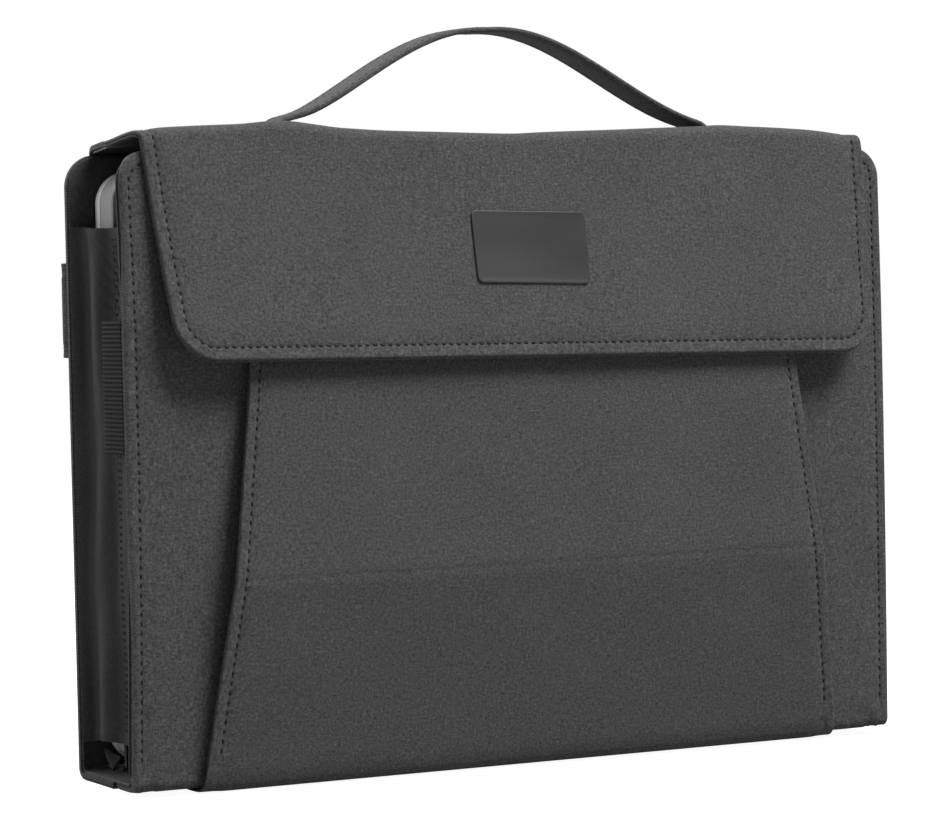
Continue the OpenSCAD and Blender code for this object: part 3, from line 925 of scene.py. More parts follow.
def flap_full(P):
    Q = P.copy()
    down = np.clip((P[:, 1] - S_DOWN) / (FLAP_L - S_DOWN), 0, 1)
    Q[:, 0] = P[:, 0] * flap_hw(P[:, 1]) / FHW - 0.5 + 1.5 * down
    cr = smooth01((P[:, 1] - S_CR + 1.5) / 6)
    Q[:, 0] += cr * np.interp(down, [0, 0.1, 0.3, 0.6, 1], [1.7, 1.7, 1.2, 0.8, 0.5]) * smooth01((-P[:, 0] - 60) / 108)
    Q[:, 0] += 2.2 * down ** 0.6 * smooth01((P[:, 0] - 60) / 108)
    return flap_map(Q)


FST = 5.1


def flap_top(d, x, s):
    down = smooth01((s - S_DOWN + 6) / 8)
    h = edge_round(d, -0.45, 0.65)
    h = h - 0.30 * np.exp(-((d - FST) / 0.6) ** 2)
    h = h + 0.55 * smooth01((d - FST - 0.4) / 5.5) + wob(x, s, 0.13, (0.05, 0.07), 0.5) * smooth01((d - 5) / 6)
    return h


def flap_bot(d, x, s):
    return -1.75 + 0.8 * smooth01((d - 5.5) / 1.0) + np.maximum(0.4 - d, 0) * 0.4


fr_ = [(-FHW, 0), (FHW, 0), (FHW, FLAP_L), (-FHW, FLAP_L)]
rows = rows_for(0, FLAP_L, 4.0, [(S_CR - 7, S_CR + 8, 0.9)])
flap = sheet("flap_fabric", fr_, [0.3, 0.3, 17, 17], flap_full, flap_top, flap_bot, [0, 0.1, 0.28, 0.55, 1.2, 2.4, 3.6, 4.2, 4.6, 4.87, 5.1, 5.33, 5.6, 6.4, 8.5, 12.5], [MELANGE], rows=rows, bot_rings=[0, 0.4, 2, 5.4, 6, 6.6, 10], arc_n=14)
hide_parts("flap_cover")
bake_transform(flap)


def flap_path(d, s0):
    r = 17 - d
    x = FHW - d
    t = FLAP_L - d
    p = [(-x, s) for s in np.arange(s0, t - r, 1.0)]
    p += [(-x + r - r * math.cos(q), t - r + r * math.sin(q)) for q in np.linspace(0, math.pi / 2, 14)]
    p += [(v, t) for v in np.arange(-x + r + 1, x - r, 1.0)]
    p += [(x - r + r * math.sin(q), t - r + r * math.cos(q)) for q in np.linspace(0, math.pi / 2, 14)]
    p += [(x, s) for s in np.arange(t - r - 1, s0, -1.0)]
    return p


st = dashes("flap_stitching", flap_path(FST, S_CR + 1), lambda x, s: -0.62, flap_full)
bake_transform(st)


# the flap's backing: a second layer, with a dark line between the two at the edge
def back_top(d, x, s):
    return -2.05 - 0.55 * smooth01((d - 3) / 3) - np.maximum(0.3 - d, 0) * 0.4


def back_bot(d, x, s):
    return -2.85 - 0.35 * smooth01((d - 3) / 4) + (0.3 - np.sqrt(np.maximum(0.09 - np.maximum(0.3 - d, 0) ** 2, 0)))


def flap_back_map(P):
    Q = P.copy()
    return flap_full(Q)


fr2 = [(-FHW - 0.25, 0), (FHW + 0.1, 0), (FHW + 0.1, FLAP_L + 0.75), (-FHW - 0.25, FLAP_L + 0.75)]
flap_back = sheet("flap_lining_fabric", fr2, [0.3, 0.3, 17.4, 17.4], flap_back_map, back_top, back_bot, [0, 0.15, 0.3, 1.5, 3.5, 6, 10], [MELANGE, LINING], rows=rows, bot_rings=[0, 0.1, 0.3, 1.4, 3, 5, 7, 10], arc_n=14, region=(0, 0, 0))
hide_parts("flap_lining", "top_lining")
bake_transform(flap_back)


# smooth black lining under the top
def top_lin_map(P):
    y = T0[0] + t_dir[0] * P[:, 1] + t_nrm[0] * P[:, 2]
    z = T0[1] + t_dir[1] * P[:, 1] + t_nrm[1] * P[:, 2]
    z = z + lift(P[:, 0]) * smooth01(P[:, 1] / 40) * 0.9
    return np.column_stack([P[:, 0], y, z])


board("flap_board_panel", FHW - 8, S_DOWN + 2, FLAP_L - 8, flap_full, -2.15, -1.05, "flap_board", "flap", 10)
discs("flap_magnet_discs", [(-60, FLAP_L - 14), (60, FLAP_L - 14)], flap_full, -2.75, -2.2, "flap_magnets", "flap")
board("top_board_panel", 162.0, 5.0, 42.5, top_lin_map, 0.85, 2.1, "top_board", "top", 4)
tl = [(-168.3, 1.6), (168.3, 1.6), (170.3, 44), (-170.3, 44)]
top_lin = sheet("top_lining_fabric", tl, [2, 2, 2, 2], top_lin_map, lambda d, x, s: edge_round(d, 0.75, 0.3), lambda d, x, s: edge_round(d, 0.0, 0.3) * 0 - 0.1 + wob(x, s, 0.15, (0.09, 0.12)) * smooth01(d / 5), [0, 0.15, 0.4, 2, 6], [LINING], bot_rings=[0, 0.4, 2, 6])
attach(top_lin, "top")

# ---------------------------------------------------------------- badge

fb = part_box("badge")


def badge_map(P):
    c, s_ = math.cos(math.radians(1.2)), math.sin(math.radians(1.2))
    k = FHW / 167.6
    Q = np.column_stack([(0.3 + P[:, 0] * c + P[:, 1] * s_) * k, S_DOWN + 45.0 + P[:, 0] * s_ - P[:, 1] * c, P[:, 2] + 0.1])
    return flap_full(Q)


bw, bh = 53.5 / 2, 15.0
badge = sheet("badge_plate", [(-bw, -bh), (bw, -bh), (bw, bh), (-bw, bh)], [2.5] * 4, badge_map, lambda d, x, s: np.minimum(edge_round(d, 0.9, 0.28), 0.9) - 0.05 * smooth01((d - 1.0) / 0.4), lambda d, x, s: d * 0 - 0.9, [0, 0.06, 0.16, 0.28, 0.6, 1.0, 1.2, 1.4, 3], [SATIN], bot_rings=[0, 3], step=2.5)
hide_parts("badge")
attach(badge, "flap")

# ---------------------------------------------------------------- stand

fp = np.array([-28.0, 2.4])
la, ua = math.radians(7.6), math.radians(2.8)
l_dir, l_nrm = np.array([-math.sin(la), math.cos(la)]), np.array([-math.cos(la), -math.sin(la)])
u_dir, u_nrm = np.array([math.sin(ua), math.cos(ua)]), np.array([-math.cos(ua), math.sin(ua)])
l0 = fp + l_nrm * 1.6
knee = l0 + l_dir * 78.7
pts = [tuple(l0 + l_dir * v) for v in (0.0, 20, 40, 60, 73.0)]
ks, ke = knee - l_dir * 5.0, knee + u_dir * 5.0
for q in np.linspace(0, 1, 12)[1:]:
    pts.append(tuple((1 - q) ** 2 * ks + 2 * (1 - q) * q * knee + q * q * ke))
pts += [tuple(knee + u_dir * v) for v in (20, 40, 60, 80, 91.5)]
stand_map0 = profile_map(pts, -1)
STAND_L = stand_map0.length


def stand_hw(s):
    return np.interp(s, [0, 26, 78.7, STAND_L], [150.2, 146.6, 139.2, 127.8])


SHW = 145.0


def stand_map(P):
    Q = P.copy()
    Q[:, 0] = P[:, 0] * stand_hw(P[:, 1]) / SHW
    return lowered(stand_map0(Q), 5.0, 65.0)


SST = 4.6
SB0 = 8.0            # where the stand's sheet meets the strip it hangs on


def stand_d(d, x, s):
    """Distance from the edge, leaving out the end that meets the strip."""
    return np.where(s - SB0 <= d + 0.05, np.minimum(SHW - np.abs(x), STAND_L - s), d)


def stand_face(d):
    return edge_round(d, -0.35, 0.6) - 0.30 * np.exp(-((d - SST) / 0.6) ** 2) + 0.35 * smooth01((d - SST) / 6)


def stand_top(d, x, s):
    d = stand_d(d, x, s)
    h = stand_face(d) + wob(x, s, 0.12, (0.05, 0.06), 3.0) * smooth01((d - 4) / 8) * smooth01((s - SB0 - 2) / 25)
    return h - 0.25 * np.exp(-((s - 78.7) / 0.9) ** 2) * smooth01(d / 4)


def stand_bot(d, x, s):
    d = stand_d(d, x, s)
    return -1.6 - 0.5 * smooth01((d - 2) / 3) + np.maximum(0.4 - d, 0) * 0.4


sr = [(-SHW, SB0), (SHW, SB0), (SHW, STAND_L), (-SHW, STAND_L)]
rows = rows_for(SB0, STAND_L, 4.0, [(72, 86, 0.8)])
stand = sheet("stand_fabric", sr, [0.3, 0.3, 4, 4], stand_map, stand_top, stand_bot, [0, 0.12, 0.3, 0.6, 1.3, 2.6, 3.6, 4.1, 4.35, 4.6, 4.85, 5.1, 6.2, 8.5, 11], [MELANGE], rows=rows, bot_rings=[0, 0.4, 2, 4, 8])
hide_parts("stand_lower_cover", "stand_upper_cover")
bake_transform(stand)


def stand_path():
    x = SHW - SST
    t = STAND_L - SST
    p = [(-x, s) for s in np.arange(11, t - 1.2, 1.0)]
    p += [(-x + 1 - math.cos(q), t - 1 + math.sin(q)) for q in np.linspace(0, math.pi / 2, 4)]
    p += [(v, t) for v in np.arange(-x + 2.0, x - 1.2, 1.0)]
    p += [(x - 1 + math.sin(q), t - 1 + math.cos(q)) for q in np.linspace(0, math.pi / 2, 4)]
    p += [(x, s) for s in np.arange(t - 2.0, 11, -1.0)]
    return p


st = dashes("stand_stitching", stand_path(), lambda x, s: -0.55, stand_map)
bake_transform(st)


def stand_back(d, x, s):
    return -3.0 + np.maximum(0.4 - d, 0) * 0.5


sb = sheet("stand_lining_fabric", [(-SHW + 0.2, SB0 - 1), (SHW - 0.2, SB0 - 1), (SHW - 0.2, STAND_L - 0.2), (-SHW + 0.2, STAND_L - 0.2)], [1, 1, 4, 4], stand_map, lambda d, x, s: -1.85 - 0.4 * smooth01((d - 2) / 3) - np.maximum(0.3 - d, 0) * 0.4, stand_back, [0, 0.3, 2, 4, 8], [MELANGE_BACK, TWILL], rows=rows, region=(0, 0, 0))
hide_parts("stand_lower_lining", "stand_upper_lining")
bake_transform(sb)

# the strip that joins the stand to the case: rolled round the bottom edge and sewn under it
b0_ = l0 + l_dir * SB0
rt = [tuple(b0_), tuple(l0 + l_dir * 5.0), (-29.35, 3.2), (-28.3, 0.6), (-26.0, -1.3), (-22.5, -2.0), (-17.0, -2.0), (-12.0, -1.75), (-7.0, -1.55)]


def rounded(p, n=3):
    p = np.array(p, float)
    for _ in range(n):
        q = [p[0]]
        for a0, b1 in zip(p, p[1:]):
            q += [0.75 * a0 + 0.25 * b1, 0.25 * a0 + 0.75 * b1]
        q.append(p[-1])
        p = np.array(q)
    return p


root_map0 = profile_map(rounded(rt), 1)
ROOT_L = root_map0.length
RHW = float(stand_hw(SB0))


def root_map(P):
    Q = P.copy()
    Q[:, 0] = P[:, 0] * np.interp(P[:, 1], [0, 8, ROOT_L], [1, 1.006, 1.016])
    out = root_map0(Q)
    w = 1 - smooth01((out[:, 2] - 5.0) / 60.0)
    out[:, 2] -= drop(out[:, 0], -25.0 + 0 * out[:, 1]) * w * np.clip((10 - out[:, 1]) / 35, 0, 1) ** 0.5
    return out


ss_ = np.linspace(0, ROOT_L, 800)
ry_ = root_map0(np.column_stack([0 * ss_, ss_, 0 * ss_]))[:, 1]
SC = float(ss_[int(np.argmax(ry_ > -25.2))])      # where it passes under the front panel's own hinge line


def root_d(d, x, s):
    return np.where((s <= d + 0.05) | (np.abs(s - SC) <= d + 0.05), np.minimum(RHW - np.abs(x), ROOT_L - s), d)


for nm, s0, s1, rr in (("root", 0.0, SC, 0.3), ("tail", SC, ROOT_L, 3)):
    root = sheet(f"stand_{nm}_fabric", [(-RHW, s0), (RHW, s0), (RHW, s1), (-RHW, s1)], [0.3, 0.3, rr, rr], root_map, lambda d, x, s: stand_face(root_d(d, x, s) * SHW / RHW), lambda d, x, s: -1.5 + np.maximum(0.3 - root_d(d, x, s), 0) * 0.3, [0, 0.12, 0.3, 0.6, 1.3, 2.6, 3.6, 4.1, 4.6, 5.1], [MELANGE, MELANGE_BACK], rows=rows_for(s0, s1, 1.2), cols=6.0, region=(0, 1, 1), bot_rings=[0, 0.6, 2])
    if nm == "root":
        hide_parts("stand_hinge_bead")
        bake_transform(root)
    else:
        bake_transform(root)

# ---------------------------------------------------------------- handle

HT, HWD = 2.1, 19.0


def arch(x):
    z = 300.8 - 41 * np.sin(np.radians(90 * np.minimum(np.abs(x), 115) / 115)) ** 2
    z = z + np.where((x < -5) & (x > -97), 3.1 * np.sin(np.pi * np.clip((-x - 5) / 92, 0, 1)), 0)
    return z + 2.0 * np.exp(-((x + 99) / 9.0) ** 2)


xs = np.linspace(-107, 107, 161)
zs = arch(xs) - HT / 2
drop = smooth01((np.abs(xs) - 97) / 10)
zs = zs - 4.4 * drop
hp = np.column_stack([xs, zs])
hacc = np.concatenate([[0], np.cumsum(np.linalg.norm(np.diff(hp, axis=0), axis=1))])
ht_ = np.gradient(hp, hacc, axis=0)
ht_ /= np.linalg.norm(ht_, axis=1)[:, None]


def handle_map(P):
    """x runs across the strap, s along it, h up from its middle."""
    X = np.interp(P[:, 1], hacc, hp[:, 0])
    Z = np.interp(P[:, 1], hacc, hp[:, 1])
    tx, tz = np.interp(P[:, 1], hacc, ht_[:, 0]), np.interp(P[:, 1], hacc, ht_[:, 1])
    n = np.hypot(tx, tz)
    tx, tz = tx / n, tz / n
    across = P[:, 0] * np.where(P[:, 0] < 0, 1 - 0.30 * smooth01((-X - 70) / 26), 1.0)
    return np.column_stack([X - tz * P[:, 2], -5.0 + across, Z + tx * P[:, 2]])


HL = hacc[-1]
rows = rows_for(0, HL, 2.2)


def strap_top(d, x, s):
    h = edge_round(d, HT / 2, 1.0) - 0.2 * np.exp(-((d - 2.6) / 0.4) ** 2)
    return h + 0.12 * smooth01((d - 3) / 3)


handle = sheet("handle_strap_fabric", [(-HWD / 2, 0), (HWD / 2, 0), (HWD / 2, HL), (-HWD / 2, HL)], [1, 1, 1, 1], handle_map, strap_top, lambda d, x, s: -strap_top(d, x, s), [0, 0.08, 0.22, 0.45, 0.8, 1.6, 2.2, 2.45, 2.6, 2.75, 3.0, 4.2, 6.0], [MELANGE], rows=rows, step=1.2, cols=1.5)
core = sheet("handle_core_webbing", [(-7, 22), (7, 22), (7, HL - 22), (-7, HL - 22)], [1] * 4, handle_map, lambda d, x, s: edge_round(d, 0.5, 0.3), lambda d, x, s: d * 0 - 0.5, [0, 0.1, 0.3, 2], [WEBBING], rows=rows, bot_rings=[0, 2], step=3)
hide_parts("handle_core")
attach(core, "handle")
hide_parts("handle_strap", "handle_tabs")
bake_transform(handle)
for nm, sg in (("top", 1), ("under", -1)):
    path = []
    for xx in (-HWD / 2 + 2.6, HWD / 2 - 2.6):
        ob = dashes(f"handle_stitching_{nm}_{'front' if xx < 0 else 'rear'}", [(xx, s) for s in np.arange(9, HL - 9, 1.0)], lambda x, s, sg=sg: sg * (HT / 2 - 0.18) if sg > 0 else -(HT / 2 - 0.18) - 0.12, handle_map, w=0.5, ht=0.36)
        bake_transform(ob)

# ---------------------------------------------------------------- trolley strap

def trolley_prof(off):
    p = [(-160.0, 25.55 + off), (-175.3, 25.75 + off)]
    r0 = 2.9 - off
    p += [(-176.3 - r0 * math.sin(q), 29.0 - r0 * math.cos(q)) for q in np.linspace(0, math.pi, 12)]
    p += [(-174.0, 31.8 - off), (-120.0, 31.3 - off), (0.0, 30.9 - off)]
    q = [(-x, y) for x, y in reversed(p[:-1])]
    return p + q


TRM = profile_map(trolley_prof(0.0), -1)


def trolley_map(P):
    q = TRM(P)          # columns: z, x, y
    return np.column_stack([q[:, 1], q[:, 2], q[:, 0]])


TRL = TRM.length
rows = rows_for(0, TRL, 6.0, [(12, 26, 0.6), (TRL - 26, TRL - 12, 0.6)])
for nm, h0, h1, mt in (("inner", -0.95, -0.12, MELANGE_BACK), ("outer", 0.0, 0.9, MELANGE)):
    ob = sheet(f"trolley_strap_{nm}", [(169, 0), (207, 0), (207, TRL), (169, TRL)], [1.5] * 4, trolley_map, lambda d, x, s, h1=h1: edge_round(d, h1, 0.35) - (0.2 * np.exp(-((d - 3.4) / 0.5) ** 2) if h1 > 0 else 0) + wob(x, s, 0.05) * smooth01(d / 5), lambda d, x, s, h0=h0: d * 0 + h0, [0, 0.1, 0.35, 1.2, 2.9, 3.15, 3.4, 3.65, 3.9, 6], [mt], rows=rows, bot_rings=[0, 1, 6], cols=4.0, step=4.0)
    if nm == "outer":
        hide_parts("trolley_strap")
    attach(ob, "rear")
for xx, nm in ((172.4, "bottom"), (203.6, "top")):
    seam(f"trolley_stitching_{nm}", "rear", [(xx, s) for s in np.arange(30, TRL - 30, 1.5)], lambda x, s: 0.72, trolley_map)
for ss, nm in ((33.0, "left"), (TRL - 33.0, "right")):
    seam(f"trolley_end_stitching_{nm}", "rear", [(x, ss) for x in np.arange(173, 203, 1.0)], lambda x, s: 0.86, trolley_map)

# ---------------------------------------------------------------- gussets

def chaikin(p, n=2):
    p = np.array(p, float)
    for _ in range(n):
        q = [p[0]]
        for a0, b0 in zip(p, p[1:]):
            q += [0.75 * a0 + 0.25 * b0, 0.25 * a0 + 0.75 * b0]
        q.append(p[-1])
        p = np.array(q)
    return p


g_pts = chaikin([(-179.6, 21.3), (-178.9, 20.2), (-175.6, 17.6), (-174.7, 15.2), (-175.1, 12.4), (-175.8, 9.4), (-176.0, 6.8), (-175.5, 4.2), (-174.2, 1.6), (-172.9, -0.4), (-172.3, -3.0), (-172.3, -8.0), (-172.5, -15.0), (-173.2, -19.0), (-175.5, -21.0), (-179.4, -21.9)], 4)
g_acc = np.concatenate([[0], np.cumsum(np.linalg.norm(np.diff(g_pts, axis=0), axis=1))])
g_t = np.gradient(g_pts, g_acc, axis=0)
g_t /= np.linalg.norm(g_t, axis=1)[:, None]
GL = g_acc[-1]
G_ST = float(g_acc[int(np.argmax((g_pts[:, 1] < -4.2)))])      # the seam beside the pen loop


def gusset_map(side):
    def f(P):
        u, z, h = P[:, 0], P[:, 1], P[:, 2]
        x = np.interp(u, g_acc, g_pts[:, 0])
        y = np.interp(u, g_acc, g_pts[:, 1])
        tx, ty = np.interp(u, g_acc, g_t[:, 0]), np.interp(u, g_acc, g_t[:, 1])
        k = smooth01(u / 6) * smooth01((GL - u) / 6)
        w = 0.55 * np.sin(z * 0.037 + u * 0.22) + 0.35 * np.sin(z * 0.083 - u * 0.31 + 1.0)
        # creases that gather above the pen loop
        cr = 0.45 * np.exp(-((z - 196) / 15) ** 2) * np.exp(-((u - G_ST - 3) / 9) ** 2) * np.sin((z + 1.1 * u) * 1.05)
        x = x + (w * 0.8 + cr) * k
        y = y + 0.5 * np.sin(z * 0.029 + 0.7) * k
        z = z - 1.1 * np.sin(np.pi * u / GL) * smooth01((z - 190) / 30) + 1.4 * np.sin(np.pi * u / GL * 1.5) * smooth01((40 - z) / 25)
        y = y - bow(side * 180.0 + 0 * z, z) * smooth01((u / GL - 0.72) / 0.28)
        x = x + ty * h
        y = y - tx * h
        return np.column_stack([side * -x, y, z]) if side > 0 else np.column_stack([x, y, z])
    return f


for side, nm in ((-1, "left"), (1, "right")):
    gm = gusset_map(side)
    gt = lambda d, x, s: 0.45 + 0.35 * np.exp(-((s - 219.5) / 1.8) ** 2) + 0.35 * np.exp(-((s - 17.5) / 1.8) ** 2) + d * 0
    ob = sheet(f"{nm}_gusset_fabric", [(0, 15), (GL, 15), (GL, 221.5), (0, 221.5)], [0.5] * 4, gm, gt, lambda d, x, s: -gt(d, x, s), [0, 0.2, 0.6], [CHEVRON], rows=rows_for(15, 221.5, 3.0, [(15, 21, 0.8), (180, 221, 1.4)]), step=0.8, cols=0.85, arc_n=3)
    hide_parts(f"{nm}_gusset")
    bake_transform(ob)
    for k_, uu in (("a", G_ST), ("b", G_ST + 1.9)):
        stt = dashes(f"{nm}_gusset_stitching_{k_}", [(uu, s) for s in np.arange(16, 220, 1.0)], lambda x, s: 0.5, gm, w=0.45, ht=0.34, length=1.7, pitch=2.8)
        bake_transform(stt)

# ---------------------------------------------------------------- pen loop

y0, y1, xo, xi = -21.9, -5.9, -180.4, -173.3
loop = []
for (cx_, cy_, q0) in ((xo + 3.2, y1 - 3.2, 180), (xi - 2.6, y1 - 2.6, 90), (xi - 1.2, y0 + 1.2, 0), (xo + 1.4, y0 + 1.4, -90)):
    rr = {180: 3.2, 90: 2.6, 0: 1.2, -90: 1.4}[q0]
    loop += [(cx_ + rr * math.cos(math.radians(q0 - 90 * k / 6)), cy_ + rr * math.sin(math.radians(q0 - 90 * k / 6))) for k in range(7)]
loop = np.array(loop)
lc = loop.mean(0)
b = Builder(lambda P: P)
zrows = np.linspace(131.5, 183.7, 30 * 6 + 1)
RIB = 52.2 / 30


def loop_ring(z, off):
    out = []
    k = len(loop)
    for i in range(k):
        t = unit(loop[(i + 1) % k] - loop[i - 1])
        n = np.array([-t[1], t[0]])
        if n @ (loop[i] - lc) < 0:
            n = -n
        yy = loop[i][1] + n[1] * off
        yy -= float(bow(np.array(-180.0), np.array(z))) * float(smooth01((-yy - 6) / 15.5))
        out.append((loop[i][0] + n[0] * off, yy, z))
    return out


peri = np.concatenate([[0], np.cumsum(np.linalg.norm(np.diff(loop, axis=0), axis=1))])
outer_r, inner_r, flats = [], [], []
for z in zrows:
    off = 0.36 * abs(math.sin(math.pi * (z - 131.5) / RIB)) - 0.25
    outer_r.append(b.add(loop_ring(z, off)))
for z in zrows:
    inner_r.append(b.add(loop_ring(z, -1.0)))
for u_, v_ in zip(outer_r, outer_r[1:]):
    b.bridge(u_, v_)
for u_, v_ in zip(inner_r, inner_r[1:]):
    b.bridge(v_, u_)
b.bridge(inner_r[0], outer_r[0])
b.bridge(outer_r[-1], inner_r[-1])
pen = b.make("pen_loop_elastic", [ELASTIC])
fl_ = np.array([(peri[i % len(loop)], z, 0) for z in list(zrows) + list(zrows) for i in range(len(loop))], np.float32) * MM
fl_[:, 1] = fl_[:, 1] - 0.1315
pen.data.attributes["flat"].data.foreach_set("vector", fl_.ravel())
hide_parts("pen_loop")
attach(pen, "front")

# ---------------------------------------------------------------- computer

cy1 = 20.7
CW, CZ0, CZ1 = 168.8, 6.4, 243.0


def slab(name, ya, yb, mats, node, chamfer=0.9):
    """A shell from y = ya at the front to y = yb, with a chamfered rim."""
    T = yb - ya

    def mp(P):
        return np.column_stack([P[:, 0], yb - P[:, 2], P[:, 1]])

    def top(d, x, s):
        return T - chamfer * (1 - smooth01(d / (chamfer * 1.15))) ** 1.1

    def bot(d, x, s):
        return 0.5 * (1 - smooth01(d / 0.5))

    pts = [(-CW, CZ0), (CW, CZ0), (CW, CZ1), (-CW, CZ1)]
    ob = sheet(name, pts, [13] * 4, mp, top, bot, [0, 0.1, 0.3, 0.5, 0.7, 0.9, 1.05, 1.3, 4], mats, bot_rings=[0, 0.12, 0.3, 0.5, 4], cols=12.0, step=6.0, arc_n=20, region=(0, 1, 0))
    for p in ob.data.polygons:
        pass
    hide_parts(node)
    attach(ob, "rear")
    return ob


slab("laptop_base_shell", 4.4, 15.55, [ALU, ALU], "laptop_base", 0.45)
# the lid's edge takes the near-white painted highlight
slab("laptop_lid_shell", 15.7, 20.7, [ALU, RIM_PAINTED_HIGHLIGHT], "laptop_lid", 0.4)
b = Builder(lambda P: np.column_stack([P[:, 0], P[:, 2], P[:, 1]]))
for fx in (-140, 140):
    for fz in (34, 214):
        rings_ = []
        for rr, yy in ((0.02, 4.6), (7.0, 4.6), (7.0, 3.9), (6.7, 3.55), (6.2, 3.4), (0.02, 3.35)):
            rings_.append(b.add([(fx + rr * math.cos(q), fz + rr * math.sin(q), yy) for q in np.linspace(0, 2 * math.pi, 41)[:-1]]))
        for u_, v_ in zip(rings_, rings_[1:]):
            b.bridge(u_, v_)
        b.face(tuple(reversed(rings_[0])))
        b.face(tuple(rings_[-1]))
feet = b.make("laptop_foot_pads", [RUBBER])
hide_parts("laptop_feet")
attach(feet, "rear")

# corner pockets
for sx, nm in ((-1, "left"), (1, "right")):
    def pk(P, sx=sx):
        # the front face is flat; past the computer's side and bottom the sheet turns back towards the lining
        u, s, h = P[:, 0], P[:, 1], P[:, 2]
        over_x = np.maximum(u - 0.0, 0)          # u grows outwards, 0 at the side
        over_z = np.maximum(-s, 0)
        y = 3.9 - h + over_x + over_z
        x = 169.2 + np.minimum(u, 0) + h * smooth01(over_x / 1.5)
        z = 5.6 + np.maximum(s, 0) - h * smooth01(over_z / 1.5) * 0.8
        y = y + h * np.maximum(smooth01(over_x / 1.5), smooth01(over_z / 1.5))
        return np.column_stack([sx * x, np.minimum(y, 21.0), z])
    tri = [(-40, -14.0), (0.0, -14.0), (0.0, 0.0), (14.0, 0.0), (14.0, 6), (0.0, 40.0)]
    tri = [(-44, 0.0), (0.9, 0.0), (0.9, 44.0)]
    ob = sheet(f"{nm}_corner_pocket_fabric", tri, [1.5, 1.0, 1.5], pk, lambda d, x, s: edge_round(d, 0.5, 0.3) + 0.35 * np.exp(-((d - 0.9) / 0.6) ** 2), lambda d, x, s: d * 0 - 0.1, [0, 0.1, 0.3, 0.6, 0.9, 1.2, 1.6, 2.4], [TWILL], bot_rings=[0, 2], step=2.0, cols=2.0)
    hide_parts(f"{nm}_corner_pocket")
    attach(ob, "rear")
    # its outer end, folded to a point under the computer's corner, and its bottom wall
    def side_map(P, sx=sx):
        return np.column_stack([sx * (170.4 + P[:, 2] + 0.9 * np.sin((P[:, 0] - 5) / 16 * math.pi)), P[:, 0], P[:, 1]])
    tri = [(10.5, 3.6), (20.9, 12.4), (4.6, 9.8)]
    ob = sheet(f"{nm}_corner_pocket_fold", tri, [0.5, 0.4, 0.4], side_map, lambda d, x, s: edge_round(d, 0.5, 0.3) + 0.45 * np.exp(-((d - 0.5) / 0.4) ** 2), lambda d, x, s: d * 0 - 0.1, [0, 0.1, 0.25, 0.4, 0.6, 0.8, 1.1], [LINING, TWILL], bot_rings=[0, 1], step=1.2, cols=1.5, arc_n=3, region=(0, 1, 0))
    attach(ob, "rear")
    def under_map(P, sx=sx):
        return np.column_stack([sx * P[:, 0], P[:, 1], 4.7 + P[:, 2] * 0.9])
    ob = sheet(f"{nm}_corner_pocket_under", [(125.0, 5.0), (170.1, 5.0), (170.1, 21.1), (125.0, 21.1)], [0.6] * 4, under_map, lambda d, x, s: edge_round(d, 0.6, 0.3), lambda d, x, s: d * 0, [0, 0.1, 0.3, 1.0], [TWILL], bot_rings=[0, 1], step=2.5, cols=3.0, arc_n=3)
    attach(ob, "rear")

# ---------------------------------------------------------------- the CAD nodes that stay

for name, mat in (("rear_board", BOARD), ("stand_lower_board", BOARD), ("stand_upper_board", BOARD), ("stand_magnets", STEEL)):
    NODES[name].data.materials.clear()
    NODES[name].data.materials.append(mat)

# ---------------------------------------------------------------- floor, world and lights

fm = Nodes("pale_floor")
g = fm.noise(fm.obj(), 3.0, 2.0)
fm.link(fm.ramp(g, [(0.3, (0.34, 0.34, 0.34)), (0.7, (0.36, 0.36, 0.36))]), fm.b.inputs["Base Color"])
fm.shader(Roughness=0.9, Specular_IOR_Level=0.1)
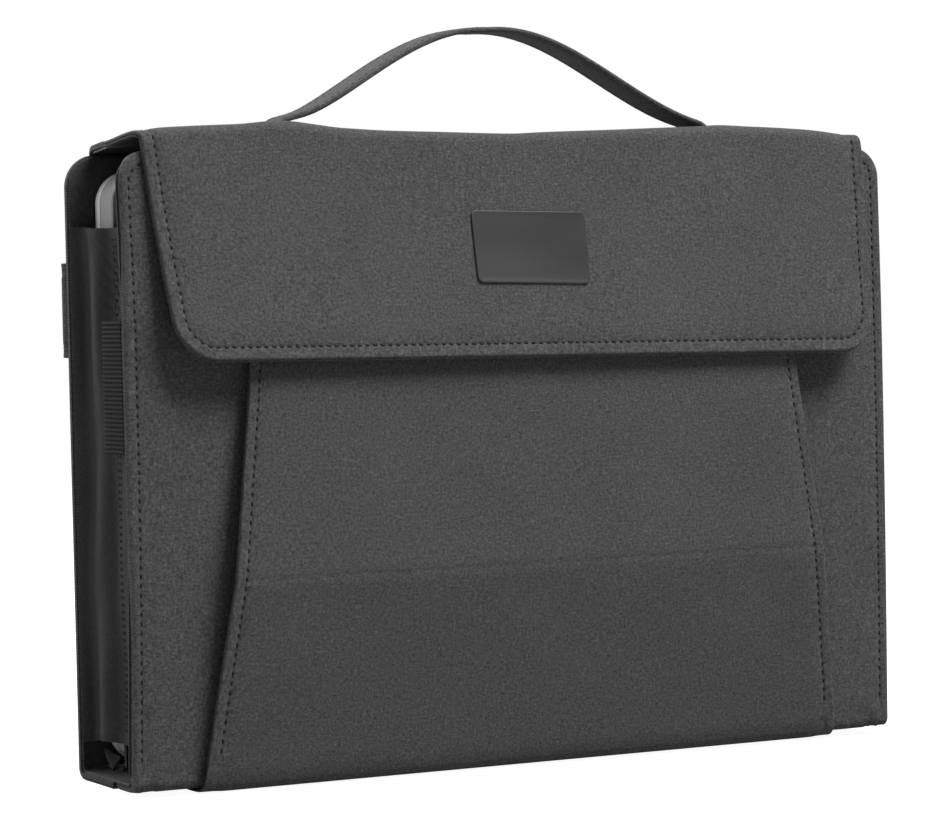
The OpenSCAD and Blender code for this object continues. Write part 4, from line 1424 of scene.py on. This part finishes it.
# the camera sees the floor as evenly lit paper, with a soft shadow left in it
flp = fm.new("ShaderNodeLightPath")
fem = fm.new("ShaderNodeEmission")
fem.inputs[0].default_value = (1, 1, 1, 1)
fem.inputs[1].default_value = 0.95
fadd = fm.new("ShaderNodeAddShader")
fmx = fm.new("ShaderNodeMixShader")
fm.link(flp.outputs["Is Camera Ray"], fmx.inputs[0])
fm.link(fm.b.outputs[0], fmx.inputs[1])
fm.link(fm.b.outputs[0], fadd.inputs[0])
fm.link(fem.outputs[0], fadd.inputs[1])
fm.link(fadd.outputs[0], fmx.inputs[2])
fm.link(fmx.outputs[0], fm.t.nodes["Material Output"].inputs["Surface"])
me = bpy.data.meshes.new("floor")
N = 96
R = 14.0
vs = [(0, 0, -0.0042)] + [(R * math.cos(2 * math.pi * i / N), R * math.sin(2 * math.pi * i / N), -0.0042) for i in range(N)]
me.from_pydata(vs, [], [(0, 1 + i, 1 + (i + 1) % N) for i in range(N)])
me.materials.append(fm.mat)
floor = bpy.data.objects.new("floor", me)
bpy.context.scene.collection.objects.link(floor)

world = bpy.data.worlds.new("studio")
bpy.context.scene.world = world
world.use_nodes = True
wt = world.node_tree
wt.nodes.clear()
out = wt.nodes.new("ShaderNodeOutputWorld")
mix = wt.nodes.new("ShaderNodeMixShader")
lp = wt.nodes.new("ShaderNodeLightPath")
b1 = wt.nodes.new("ShaderNodeBackground")
b2 = wt.nodes.new("ShaderNodeBackground")
b1.inputs[0].default_value = (1, 1, 1, 1)
b1.inputs[1].default_value = 0.14
b2.inputs[0].default_value = (1, 1, 1, 1)
b2.inputs[1].default_value = 1.0
wt.links.new(lp.outputs["Is Camera Ray"], mix.inputs[0])
wt.links.new(b1.outputs[0], mix.inputs[1])
wt.links.new(b2.outputs[0], mix.inputs[2])
wt.links.new(mix.outputs[0], out.inputs[0])


def area(name, loc, target, size, power):
    d = bpy.data.lights.new(name, "AREA")
    d.shape = "RECTANGLE"
    d.size, d.size_y = size
    d.energy = power
    o = bpy.data.objects.new(name, d)
    bpy.context.scene.collection.objects.link(o)
    o.location = loc
    o.rotation_mode = "QUATERNION"
    o.rotation_quaternion = (Vector(target) - Vector(loc)).to_track_quat("-Z", "Y")
    return o


area("key", (0.90, -1.45, 2.60), (0, 0, 0.13), (1.25, 1.15), 109)
area("top", (0.1, 0.2, 2.2), (0, 0, 0.1), (1.6, 1.0), 12)
area("left", (-2.6, 0.55, 0.8), (0, 0.05, 0.15), (0.9, 1.2), 21)
area("back", (-0.9, 2.5, 1.5), (0, 0, 0.15), (1.4, 1.4), 45)
